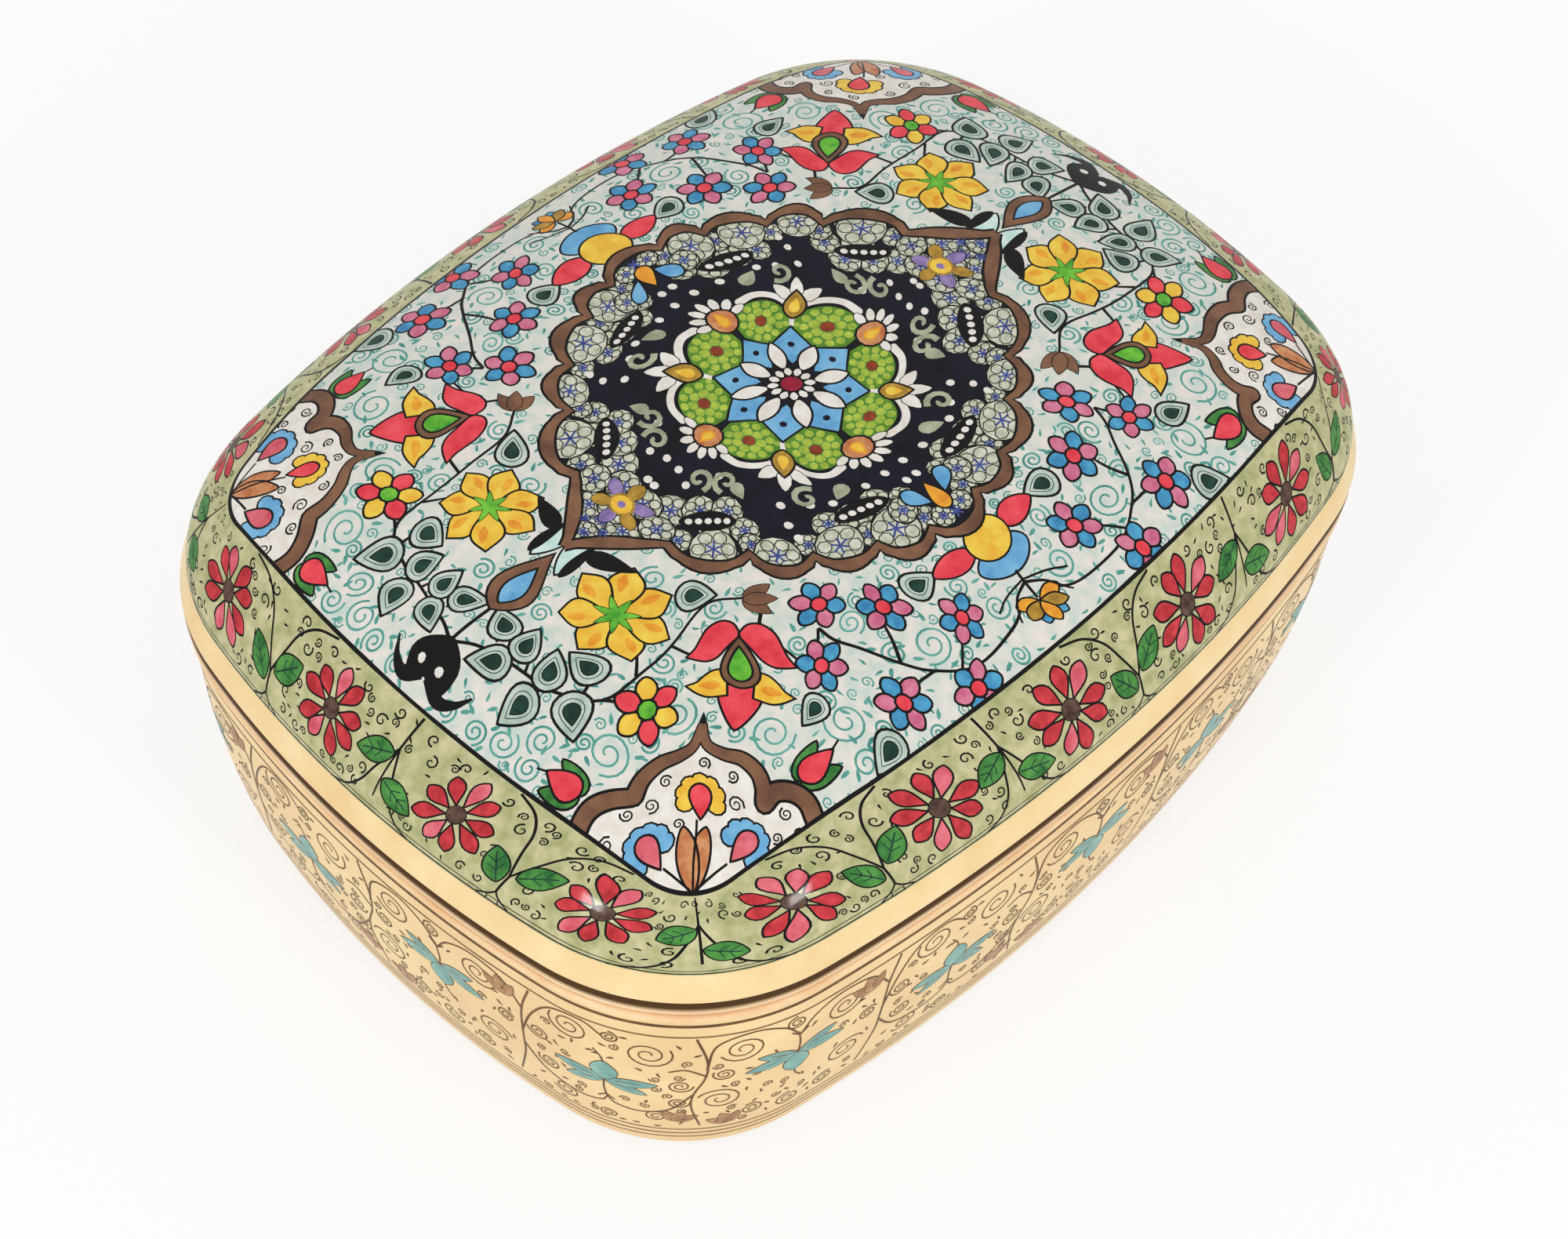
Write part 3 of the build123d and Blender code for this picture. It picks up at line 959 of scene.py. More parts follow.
def rosette():
    """The flower at the centre, eight-fold: hearts, kites, almond petals, pearls."""
    flower = []
    heart = np.vstack([through([
        (9.1, 3.8), (11.0, 3.95), (13.0, 3.1), (14.4, 1.3), (14.5, -1.2), (13.2, -3.1),
        (11.2, -3.8), (9.2, -3.3),
    ], 3), [(7.2, 0)]])
    ribbon = through([
        (9.2, 3.9), (11.2, 4.45), (13.3, 3.95), (15.0, 2.3), (15.7, 0.2), (15.1, -1.9),
    ], 5)
    for k in range(8):
        turn = 22.5 + 45 * k
        handed = [1, 1 - 2 * (k % 2)]
        dab(flower, "heart green", at(heart * handed, 0, 0, turn))
        stroke(flower, "pearl white", at(ribbon * handed, 0, 0, turn), 0.6, 1.9)
        end = at(disc(0.57, 8, ribbon[-1] * handed), 0, 0, turn)
        dab(flower, "pearl white", end, None)
        for radius, count, size in ((1.55, 7, 0.72), (2.75, 12, 0.6)):
            for j in range(count):
                spot = at([polar(radius, 360 * j / count, 11.2)], 0, 0, turn)[0]
                dab(flower, "lime", disc(size, 8, spot), "leaf green", 0.09)
        tip = at(np.array([[9.8, 3.3]]) * handed, 0, 0, turn)[0]
        dab(flower, "lime", disc(0.42, 8, tip), "leaf green", 0.09)
        dab(flower, "russet", disc(0.9, 8, polar(11.2, turn)), "leaf green", 0.12)
    for k in range(4):
        turn = 90 * k
        for fan in (-84, -56, -28, 0, 28, 56, 84):
            bead = at(petal(2.2, 1.2, 1.0, 0.55, steps=5) + [1.9, 0], 13.7, 0, fan)
            dab(flower, "pearl white", at(bead, 0, 0, turn), edge=0.12)
        dab(flower, "salmon", at(disc(1.95, 12, (13.7, 0)), 0, 0, turn))
        dab(flower, "sun yellow", at(at(drop(2.0, 1.3, 5), 13.7, 0), 0, 0, turn), "orange", 0.3)
        for fan in (-52, 52, 0):
            leaf = at(petal(3.5, 1.8, 0.8, 0.7, steps=5) + [0.6, 0], 14.0, 0, fan)
            dab(flower, "pearl white", at(leaf, 0, 0, turn + 45), edge=0.12)
        dab(flower, "ochre", at(petal(4.3, 2.7, 0.8, 0.9) + [11.4, 0], 0, 0, turn + 45))
        dab(flower, "sun yellow", at(drop(2.4, 1.5, 5) + [13.2, 0], 0, 0, turn + 45), None)
    kite = np.array([(3.6, 0), (6.7, 2.45), (9.7, 0), (6.7, -2.45)])
    for k in range(8):
        dab(flower, "sky", at(kite, 0, 0, 45 * k))
        dab(flower, "midnight", disc(0.5, 6, polar(6.9, 45 * k)), None)
    for k in range(8):
        almond = petal(4.6, 2.0, 1.0, 0.8) + [2.7, 0]
        dab(flower, "pearl white", at(almond, 0, 0, 22.5 + 45 * k))
    dab(flower, "black ink", disc(2.9, 16), None)
    for k in range(12):
        bead = petal(1.35, 0.95, 1.1, 0.6, steps=4) + [1.45, 0]
        dab(flower, "pearl white", at(bead, 0, 0, 30 * k), None)
    dab(flower, "wine", disc(1.25), edge=0.12)
    return [(paint, shape * ROSETTE_SCALE) for paint, shape in flower]


def star_field(picture):
    """Pearls and pale curls on the midnight between the rosette and the lobes."""
    for x, y in (
        (21.6, 1.2), (25.6, 0.6), (22.6, 3.6), (17.6, 17.4), (15.8, 14.8), (13.0, 17.0),
        (10.8, 18.7), (5.5, 19.9), (1.8, 20.4), (1.0, 23.0), (18.2, 19.6), (18.6, 6.2),
    ):
        dab(picture, "pearl white", disc(0.6, 8, (x, y)), None)
    dab(picture, "sage", at(drop(3.2, 2.2, 6), 8.2, 18.0, 20), None)
    dab(picture, "sage", at(drop(2.8, 2.0, 6), 18.4, 9.6, 70), None)
    for x, y, start, hand in ((20.8, 4.4, 60, 1), (18.6, 7.6, 20, -1), (12.4, 15.9, 200, 1)):
        stroke(picture, "sage", curl(x, y, 1.9, start, hand, 1.1, 14), 0.85, 0.7)


def asterisk(size):
    """Three short strokes of blue ink crossing in one point."""
    motif = []
    for k in range(3):
        stroke(motif, "blue ink", at([[-size, 0], [size, 0]], 0, 0, 60 * k), 0.3)
    return motif


# Lobes by their middle and their radius, from the lowest layer up.
LACE_LOBES = (
    (33.2, 5.2, 2.6), (36.6, 2.2, 2.0), (30.2, 8.6, 2.3), (35.2, 0.4, 1.6), (26.9, 4.8, 2.5),
    (24.4, 7.6, 2.3), (22.0, 10.6, 2.2), (25.2, 11.0, 2.4), (22.6, 14.4, 2.0),
    (23.6, 16.4, 1.7), (18.2, 21.2, 1.7), (14.0, 20.6, 2.0), (10.8, 22.2, 2.3),
    (7.0, 22.6, 2.2), (11.4, 25.8, 1.9), (4.0, 24.6, 1.9), (4.2, 28.2, 1.9), (1.9, 29.6, 1.6),
    (27.6, 15.2, 1.8), (28.2, 13.2, 3.7), (22.4, 19.7, 3.3), (15.5, 24.4, 3.3),
    (8.2, 27.4, 3.2), (28.8, 1.8, 2.4), (34.2, 3.2, 2.3), (38.2, 0.2, 1.8), (32.2, 0.4, 2.2),
    (30.6, 5.6, 2.2), (5.6, 25.8, 1.9),
)


def medallion(picture):
    """The brown frame, a crescent to each scallop, and inside it lobes of lace, each starred
    in blue and kept from reaching past the frame."""
    cusps = [
        (41.4, 0), (31.7, 8.2), (25.0, 17.2), (19.2, 22.9), (11.6, 28.0), (4.6, 30.1),
        (-4.6, 30.1),
    ]
    bulges = (-0.4, 3.1, 2.5, 2.3, 2.3, 2.8)
    frame_line = scalloped(cusps, bulges)
    dab(picture, "midnight", np.vstack([frame_line, [(-6, -3), (41.4, -3)]]), None)
    for x, y, radius in LACE_LOBES:
        radius = min(radius, np.hypot(*(frame_line - [x, y]).T).min() + 0.4)
        dab(picture, "lace", disc(radius, 14, (x, y)), "black ink", 0.24)
        for k in range(6):
            eyelet = disc(radius * 0.28, 7, polar(radius * 0.64, 60 * k + 9 * x, x, y))
            dab(picture, "lace", eyelet, "pen green", 0.17)
        put(picture, asterisk(radius * 0.42), x, y, 12 * x)
    crescents = []
    for start, end, bulge in zip(cusps[:-1], cusps[1:], bulges):
        outer = scalloped([start, end], [bulge + 1.05])
        inner = scalloped([end, start], [0.75 - bulge])
        crescents.append(facing(np.vstack([outer[:-1], inner[:-1]])))
    stroke(picture, "black ink", frame_line, 1.9)
    for shape in crescents:
        dab(picture, "black ink", grown(shape, 0.38), None)
    stroke(picture, "medallion brown", frame_line, 1.15)
    for shape in crescents:
        dab(picture, "medallion brown", shape, None)
    star_field(picture)
    for start, end in (((27.6, 6.6), (22.4, 12.6)), ((13.2, 20.8), (5.8, 23.2))):
        slope = np.degrees(np.arctan2(end[1] - start[1], end[0] - start[0]))
        dab(picture, "black ink", at(petal(8.0, 3.4, 1.0, 0.55), *start, slope), None)
        for spot in straight(start, end, 7)[1:6]:
            dab(picture, "pearl white", disc(0.52, 8, spot), None)
    for k in range(6):
        leaf = petal(3.3, 2.0, 1.2, 0.6) + [1.0, 0]
        dab(picture, ("violet", "ochre")[k % 2], at(leaf, 31.0, 0, 60 * k), edge=0.12)
    dab(picture, "sun yellow", disc(1.5, 12, (31.0, 0)), "ochre", 0.35)
    dab(picture, "violet", disc(0.6, 8, (31.0, 0)), None)
    dab(picture, "sky", at(drop(4.0, 2.3), 3.1, 25.4, 130))
    dab(picture, "orange", at(drop(4.4, 2.5), 0, 27.3, -90))
    put(picture, asterisk(1.0), 0, 30.2)
    put(picture, asterisk(0.8), 36.4, 1.8, 20)


def round_flower(paints, centre, start=0, size=1.0):
    """A small flower of six oval petals in two alternating paints round a centre."""
    motif = []
    for k in range(6):
        leaf = (petal(2.6, 2.05, 1.0, 0.6) + [0.95, 0]) * size
        dab(motif, paints[k % 2], at(leaf, 0, 0, start + 60 * k), edge=0.32)
    dab(motif, centre, disc(0.95 * size, 10), edge=0.32)
    return motif


def eye_leaf(size):
    """A pale leaf with a ring and a dark eye in it, as on a peacock's feather."""
    motif = []
    ring = drop(3.9, 2.9) * size
    dab(motif, "eye leaf", drop(5.5, 4.3) * size, edge=0.36)
    stroke(motif, "pine", np.vstack([ring, ring[:1]]), 0.12)
    dab(motif, "pine", drop(2.5, 1.9) * size, edge=0.14)
    return motif


def star_flower(start):
    """The big yellow flower: seven broad pointed petals round a small green star."""
    motif = []
    edge = through([(0.9, 0), (2.2, 1.1), (3.9, 1.95), (5.3, 1.7), (6.9, 0)], 3)
    blade = np.vstack([edge, edge[-2:0:-1] * [1, -1]])
    turns = start + np.arange(7) * 360 / 7
    for turn in turns:
        dab(motif, "sun yellow", at(blade, 0, 0, turn))
        dab(motif, "orange", at(petal(2.6, 1.2) + [3.3, 0], 0, 0, turn + 6), None)
    for turn in turns + 180 / 7:
        dab(motif, "grass", at(petal(2.8, 0.9, 0.6), 0, 0, turn), edge=0.1)
    dab(motif, "grass", disc(1.0), None)
    return motif


def lotus():
    """The red lotus: a drop between two wings, two yellow sepals and a hanging petal.  The
    wings and the sepals end in a hook."""
    motif = []
    wing = np.vstack([
        through([
            (4.9, 0.1), (6.1, 0.9), (6.3, 2.3), (5.2, 3.9), (3.5, 4.9), (2.2, 5.6), (1.0, 6.7),
        ], 3),
        through([(1.0, 6.7), (0.7, 5.2), (0.7, 3.9), (1.4, 2.7), (2.9, 1.5), (4.3, 0.3)], 3)[1:],
    ])
    sepal = np.vstack([
        through([(-0.6, 1.8), (-0.9, 3.2), (-1.9, 4.4), (-2.8, 5.2), (-3.4, 6.4)], 3),
        through([(-3.4, 6.4), (-4.3, 4.9), (-4.7, 3.5), (-4.3, 1.6)], 3)[1:],
    ])
    dab(motif, "lotus red", at(petal(6.7, 4.9, 0.5, 0.7), -2.2, 0, 180))
    for side in (1, -1):
        dab(motif, "sun yellow", sepal * [1, side])
        dab(motif, "orange", at(petal(2.7, 1.3, 0.7), -2.9, 2.3 * side, 97 * side), None)
        dab(motif, "lotus red", wing * [1, side])
    dab(motif, "medallion brown", drop(7.2, 4.4))
    dab(motif, "grass", drop(4.8, 2.6))
    return motif


def bud():
    """A red bud held by two green sepals."""
    motif = []
    for side in (1, -1):
        sepal = at(petal(4.9, 2.3, 0.7, 0.7, -1.0 * side), -2.4, 0.3 * side, 34 * side)
        dab(motif, "leaf green", sepal)
    dab(motif, "lotus red", drop(5.0, 3.2))
    stroke(motif, "black ink", [[2.8, 0], [4.4, 0.4]], 0.3)
    return motif


def tulip():
    """A small three-toothed brown bloom."""
    motif = []
    for fan in (-36, 36, 0):
        dab(motif, "medallion brown", at(petal(3.8, 1.9, 0.8), 0, 0, fan), edge=0.12)
    return motif


def teal_curl(radius, hand):
    """A teal curl with three ticks beside it."""
    motif = []
    reach = radius * 1.12
    stroke(motif, "teal line", curl(0, 0, reach, 0, hand, 1.9, 32), 0.34, 0.8)
    for share in (0.2, 0.45, 0.7):
        tick = petal(1.5, 0.6, 0.7, 0.8, 0.3, 4) + [reach + 0.35, 0]
        dab(motif, "teal line", at(tick, 0, 0, -hand * 360 * share), None)
    return motif


def corner_quarter(picture):
    """A quarter medallion in the corner of the panel, with three palmettes."""
    bows = [through(line, 5) for line in (
        [(68.8, 29.9), (66.6, 28.6), (64.1, 28.0), (61.5, 28.8), (59.2, 30.5)],
        [(59.2, 30.5), (56.7, 29.8), (53.8, 30.3), (51.4, 31.7), (49.4, 32.2), (46.9, 31.0)],
        [(46.9, 31.0), (48.3, 33.2), (47.8, 35.4), (46.5, 37.3), (46.1, 39.6), (46.8, 41.4),
         (48.0, 42.6)],
        [(48.0, 42.6), (45.9, 42.7), (44.4, 44.3), (44.1, 46.4), (45.0, 48.6), (45.4, 51.0)],
    )]
    inside = np.vstack([line[:-1] for line in bows] + [[(60, 54), (72, 54), (72, 40)]])
    dab(picture, "pearl white", inside, None)
    for x, y, radius, start in (
        (65.4, 32.4, 1.0, 200), (58.6, 33.0, 1.1, 30), (51.0, 40.4, 1.1, 120),
        (47.0, 45.4, 0.9, 250), (50.2, 34.6, 0.8, 80), (48.8, 38.0, 0.8, 0),
        (61.4, 31.6, 0.9, 300), (55.0, 32.4, 0.9, 160), (47.6, 48.2, 0.9, 100),
        (66.6, 36.2, 0.9, 20), (58.2, 37.4, 0.8, 60), (50.0, 46.6, 0.8, 10),
    ):
        stroke(picture, "black ink", curl(x, y, radius, start, 1, 1.6, 15), 0.28, 0.6)
    bows[2] = bows[2][::-1]
    stroke(picture, "black ink", straight((46.9, 31.0), (45.8, 29.9), 4), 1.1, 0.1)
    for paint, width in (("black ink", 2.8), ("medallion brown", 2.0)):
        for line, thin in zip(bows, (1.0, 0.4, 0.4, 1.0)):
            stroke(picture, paint, line, width, thin)
        for line in (bows[1], bows[3]):
            dab(picture, paint, disc(width / 2, 10, line[0]), None)
    for x, y, turn, rim_paint, heart in (
        (53.9, 37.1, 222, "sun yellow", "lotus red"),
        (62.5, 36.8, 262, "sky", "daisy pink"),
        (53.5, 44.4, 186, "sky", "daisy pink"),
    ):
        for edge, ink in ((1.05, "black ink"), (1.0, None)):
            for k in range(7):
                spot = polar(1.95 + edge * 0.1, turn - 108 + 36 * k, x, y)
                dab(picture, rim_paint, disc(edge, 10, spot), ink, 0.26)
        dab(picture, heart, at(drop(4.2, 2.5), x, y, turn + 180))
    for turn in (214, 238):
        dab(picture, "salmon", at(petal(6.6, 2.4, 0.9, 0.7), 61.6, 43.8, turn))
    stroke(picture, "black ink", straight((61.6, 43.8), (56.2, 38.6), 4), 0.3)
    for ends in (((61.8, 43.6), (62.6, 39.6)), ((61.4, 44.0), (56.6, 44.6))):
        stroke(picture, "black ink", straight(*ends, 4), 0.3)


def axis_pieces(picture):
    """What stands on the two axes outside the medallion: drops, claws and a fan."""
    dab(picture, "black ink", at(petal(7.4, 4.6, 1.15, 0.75), 59.6, 0.2, 20), None)
    horn = through([(64.6, 1.0), (66.4, 3.2), (65.6, 5.4), (63.6, 6.9)])
    stroke(picture, "black ink", horn, 2.6, 0.1)
    dab(picture, "pearl white", disc(0.62, 8, (63.7, 1.6)), None)
    stroke(picture, "black ink", straight((52.6, 0), (60.5, 0), 6), 0.5)
    dab(picture, "medallion brown", at(petal(10.4, 5.8, 1.45, 0.75), 43.2, 0))
    dab(picture, "sky", at(petal(6.2, 2.7, 1.25, 0.8), 46.0, 0), "black ink", 0.3)
    dab(picture, "mint", at(petal(6.4, 3.2, 0.8, 0.8), 38.4, 1.5, 8))
    dab(picture, "black ink", at(petal(6.6, 1.7, 0.72, 0.8, 0.9), 44.8, 3.0, 172), None)
    dab(picture, "black ink", at(petal(6.6, 2.7, 0.62, 0.8, -0.9), 40.4, 3.4, 124), None)
    for side in (1, -1):
        dab(picture, "lotus red", at(petal(6.4, 3.6, 0.8, 0.7), 3.0 * side, 36.0, 90 - 93 * side))
    dab(picture, "sky", at(petal(8.6, 5.2, 1.0, 0.55) - [4.3, 0], 0, 39.4))
    dab(picture, "sun yellow", disc(3.3, 24, (0, 36.0)))
    stroke(picture, "black ink", straight((0, 41.8), (0, 46), 4), 0.4)
    for turn, paint in (
        (-100, "orange"), (100, "orange"), (-30, "kingfisher"), (30, "kingfisher"),
        (-62, "ochre"), (62, "orange"), (0, "orange"),
    ):
        leaf = petal(3.1, 1.7, 1.2, 0.7) + [0.2, 0]
        dab(picture, paint, at(leaf, 0, 46.4, 90 + turn), edge=0.24)
    upper = through([(0, 43.6), (2.4, 44.9), (4.4, 47.6)])
    lower = through([(0, 43.2), (3.4, 44.0), (6.0, 45.2)])
    for side in (1, -1):
        stroke(picture, "black ink", upper * [side, 1], 0.45, 0.6)
        stroke(picture, "black ink", lower * [side, 1], 0.3)


# Curls by middle, radius, the angle of their outer end, and the hand; stems by the points
# they run through; leaves by middle, direction of the tip and size; flowers by middle and
# the direction of a petal.
PANEL_CURLS = (
    (57.5, 24.5, 2.7, 20, 1), (41.7, 37.2, 2.6, 140, -1), (33.5, 42.4, 2.9, 250, 1),
    (35.2, 47.6, 1.8, 60, 1), (48.4, 27.8, 2.4, 200, -1), (44.6, 20.6, 1.7, 300, 1),
    (17.6, 41.6, 2.5, 40, 1), (5.6, 44.2, 1.8, 180, -1), (23.3, 33.4, 1.8, 90, 1),
    (66.2, 9.6, 1.5, 30, 1), (64.8, 13.4, 2.0, 160, -1), (65.2, 18.4, 1.7, 250, 1),
    (61.4, 17.4, 1.9, 0, -1), (50.0, 5.0, 1.4, 120, 1), (36.8, 11.2, 1.7, 210, 1),
    (30.4, 31.0, 1.3, 80, -1), (66.4, 5.0, 1.3, 10, 1), (38.6, 15.6, 1.2, 70, 1),
    (22.0, 40.0, 1.5, 200, 1), (8.2, 38.6, 1.6, 320, 1), (14.6, 45.6, 1.2, 100, -1),
    (24.8, 50.4, 1.2, 20, 1), (8.6, 50.0, 1.2, 200, -1), (38.6, 50.0, 1.3, 300, 1),
    (30.6, 46.0, 1.2, 70, 1), (50.2, 21.0, 1.2, 10, -1), (46.0, 24.2, 1.1, 90, 1),
    (61.2, 11.4, 1.2, 200, 1), (33.2, 39.0, 1.4, 300, -1), (58.6, 21.6, 1.1, 120, 1),
    (4.8, 33.4, 0.9, 30, 1), (45.0, 34.4, 1.1, 10, 1), (20.6, 31.6, 1.2, 240, 1),
    (13.6, 31.8, 1.3, 80, 1), (34.0, 20.4, 1.5, 120, -1), (52.6, 27.6, 1.2, 330, 1),
)
PANEL_STEMS = (
    [(27.0, 31.0), (26.4, 33.8), (24.6, 37.0), (22.3, 41.4), (19.7, 44.4), (14.2, 47.6),
     (5.9, 47.4), (1.4, 45.2)],
    [(22.3, 41.4), (21.0, 38.6), (20.2, 36.4)], [(19.7, 44.4), (23.6, 44.4)],
    [(16.4, 46.4), (13.6, 43.4)], [(14.2, 47.6), (16.0, 49.4)],
    [(60.0, 0.4), (58.6, 3.4), (57.2, 9.8), (56.4, 14.2), (53.4, 19.6), (46.8, 19.8),
     (40.6, 19.6), (34.4, 19.2), (30.6, 21.6)],
    [(57.2, 9.8), (55.6, 9.0)], [(56.8, 12.4), (59.0, 13.4)], [(54.6, 17.4), (51.8, 16.6)],
    [(42.0, 19.8), (40.8, 23.0), (38.8, 25.2)], [(30.2, 24.4), (32.2, 27.0), (31.8, 33.6)],
    [(53.0, 3.0), (57.0, 4.2)], [(53.4, 19.6), (51.6, 22.0)], [(27.0, 31.0), (29.2, 33.8)],
    [(48.7, 19.8), (46.4, 17.6)],
)
EYE_LEAVES = (
    (54.6, 3.2, 236, 0.9), (59.0, 5.7, 305, 0.95), (54.8, 7.3, 190, 0.9),
    (60.1, 12.1, 345, 1.05), (55.0, 12.3, 210, 0.95), (51.6, 15.3, 268, 0.95),
    (56.8, 18.0, 45, 1.05), (35.0, 16.8, 135, 0.95), (35.2, 38.4, 8, 0.85),
    (12.1, 35.2, 180, 0.92), (31.6, 48.2, 20, 1.0),
)
BLUE_FLOWERS = (
    (24.7, 28.3, 12), (30.0, 35.3, 70), (18.3, 34.5, 80), (11.3, 42.0, 98), (25.7, 45.3, 25),
    (16.3, 49.7, 50),
)


def panel_quarter():
    """A quarter of the panel, from the ground up."""
    picture = []
    for x, y, radius, start, hand in PANEL_CURLS:
        put(picture, teal_curl(radius, hand), x, y, start)
    taken = [(x, y, radius) for x, y, radius, _, _ in PANEL_CURLS]
    strewn(picture, "teal line", taken, (1, 1), (67, 51), 560, 1.2, 0.26)
    for line in PANEL_STEMS:
        stroke(picture, "black ink", through(line), 0.48, 0.75)
    for x, y, tip, size in EYE_LEAVES:
        put(picture, eye_leaf(size), x, y, tip)
    put(picture, star_flower(3), 43.4, 12.0)
    put(picture, round_flower(("sun yellow", "lotus red"), "grass", -6, 1.2), 50.4, 24.2)
    for x, y, start in BLUE_FLOWERS:
        put(picture, round_flower(("kingfisher", "rose"), "lotus red", start), x, y)
    for motif, x, y, turn in (
        (tulip(), 30.6, 21.8, 140), (lotus(), 38.0, 28.3, 220), (bud(), 64.0, 23.6, -88),
        (bud(), 40.4, 44.0, 182),
    ):
        put(picture, motif, x, y, turn)
    corner_quarter(picture)
    axis_pieces(picture)
    medallion(picture)
    picture += rosette()
    line_sizes = np.array([PANEL_LENGTH, PANEL_WIDTH, PANEL_CORNER]) - 0.25
    stroke(picture, "black ink", oval(np.linspace(0, np.pi / 2, 90), *line_sizes), 0.5)
    return picture


# The drift of the painter's hand: two swells sideways and two lengthways, each by how much,
# its waves along x and y in radians a millimetre, and its phase.
SWELLS = (
    ((0.30, 0.31, 0.17, 1.1), (0.22, 0.12, -0.37, 0.4)),
    ((0.30, 0.21, -0.29, 2.3), (0.22, 0.35, 0.14, 4.0)),
)
# Where whole motifs sit a little off: the place, the reach along x and y, and the shift.
SHIFTS = (
    (0, 0, 18, 18, -0.8, -0.8),
    (-56, 0, 16, 12, 0.0, 1.3),
    (0, -44, 12, 12, -0.9, 0.0),
)
ROSETTE_TURN = -5.5


def drifted(plan):
    """Picture points moved by swells of sines, a few tenths of a millimetre, and by shifts
    that fade as exp(-d^2) does, where d is the distance in reaches.  Both die away over the
    last 5 mm to the panel's edge.  The rosette is turned by ROSETTE_TURN degrees, whole up
    to 15 mm from the middle and fading out at 25 mm."""
    inside = np.clip(-past_oval(plan, PANEL_LENGTH, PANEL_WIDTH, PANEL_CORNER) / 5, 0, 1)
    x, y = plan[:, 0], plan[:, 1]
    sway, lift = (
        sum(size * np.sin(along * x + across * y + phase) for size, along, across, phase in swell)
        for swell in SWELLS
    )
    for place_x, place_y, reach_x, reach_y, shift_x, shift_y in SHIFTS:
        near = np.exp(-((x - place_x) / reach_x)**2 - ((y - place_y) / reach_y)**2)
        sway = sway + shift_x * near
        lift = lift + shift_y * near
    turn = np.radians(ROSETTE_TURN) * np.clip(2.6 - np.hypot(x, y) / 9.5, 0, 1)
    swirl = np.column_stack([
        x * (np.cos(turn) - 1) - y * np.sin(turn), x * np.sin(turn) + y * (np.cos(turn) - 1)
    ])
    return plan + swirl + np.column_stack([sway, lift]) * inside[:, None]


def mirrored(across, along):
    """A move that turns the picture over one axis or both, and drifts it."""
    return lambda points: drifted(points * [across, along]), across * along < 0


quarter_field = np.vstack([
    [(0, 0)], oval(np.linspace(0, np.pi / 2, 120), PANEL_LENGTH, PANEL_WIDTH, PANEL_CORNER)
])
panel_cut = cut_picture(panel_quarter(), quarter_field, POINT_GRID)
lay(
    "panel", panel_cut, [mirrored(i, j) for i in (1, -1) for j in (1, -1)], on_dome, "lid",
    ((-72, -56), 144, 112, 1),
)

# ---------------------------------------------------------------------------------------
# The border of daisies on the shoulder: a mottled sage strip between the panel and the band.
# It is drawn unrolled, s round it and v up from the band.  Each flower is drawn true and
# then fitted to the strip, which is squeezed towards the panel's corners.

BORDER_WIDTH = 16.0
DAISIES = 19
DAISY_PHASE = 1.0            # place of the first daisy; two stand beside the near corner
CROWDING = 2.0
CORNER_PLACE = 278.0         # place of the near corner
STATIONS = 720
SLOPE_STEPS = 61             # points up the strip at which a station is measured
BORDER_STEPS = 33


def border_edges(turns):
    """The strip's outer edge on the band and its inner edge at the panel."""
    outer = oval(turns, *level_oval(1.0, BAND_LEAN))
    return outer, oval(turns, PANEL_LENGTH, PANEL_WIDTH, PANEL_CORNER)


border_travel = travelled(np.mean(border_edges(ALL_TURNS), axis=0))
BORDER_ROUND = border_travel[-1]


def border_shares():
    """For each station round the strip, the plan share from outer to inner edge at which
    evenly spaced widths over the surface are reached."""
    turns = np.interp(np.arange(STATIONS) / STATIONS * BORDER_ROUND, border_travel, ALL_TURNS)
    outer, inner = border_edges(turns)
    share = np.linspace(0, 1, SLOPE_STEPS) ** 2
    plan = outer[:, None] + (inner - outer)[:, None] * share[None, :, None]
    surface = on_dome(plan.reshape(-1, 2)).reshape(STATIONS, SLOPE_STEPS, 3)
    even = np.linspace(0, 1, BORDER_STEPS)
    table = []
    for line in surface:
        gone = travelled(line)
        table.append(np.interp(even, gone / gone[-1], share))
    return np.array(table)


border_table = border_shares()


def on_border(points):
    """The dome's surface at points of the strip: read the share from the table between
    its four neighbours, and go that far from the outer edge to the inner."""
    s = points[:, 0] % BORDER_ROUND
    column = s / BORDER_ROUND * STATIONS
    row = np.clip(points[:, 1] / BORDER_WIDTH, 0, 1) * (BORDER_STEPS - 1)
    low = np.minimum(row.astype(int), BORDER_STEPS - 2)
    left = column.astype(int) % STATIONS
    right = (left + 1) % STATIONS
    across, up = column - column.astype(int), row - low
    near = border_table[left, low] * (1 - up) + border_table[left, low + 1] * up
    far = border_table[right, low] * (1 - up) + border_table[right, low + 1] * up
    share = near * (1 - across) + far * across
    outer, inner = border_edges(np.interp(s, border_travel, ALL_TURNS))
    return on_dome(outer + (inner - outer) * share[:, None])


def fitted(picture, motif, s, v):
    """Lay a motif drawn true about (0, 0) at (s, v) on the strip: its breadth is divided
    by how far the strip is stretched round the loop at each point."""
    sizes = [len(shape) for _, shape in motif]
    points = np.vstack([shape for _, shape in motif])
    spots = np.column_stack([np.full(len(points), s), v + points[:, 1]])
    stretch = np.linalg.norm(on_border(spots + [0.5, 0]) - on_border(spots - [0.5, 0]), axis=1)
    points = np.column_stack([s + points[:, 0] / stretch, spots[:, 1]])
    for (paint, _), shape in zip(motif, np.split(points, np.cumsum(sizes)[:-1])):
        picture.append((paint, shape))


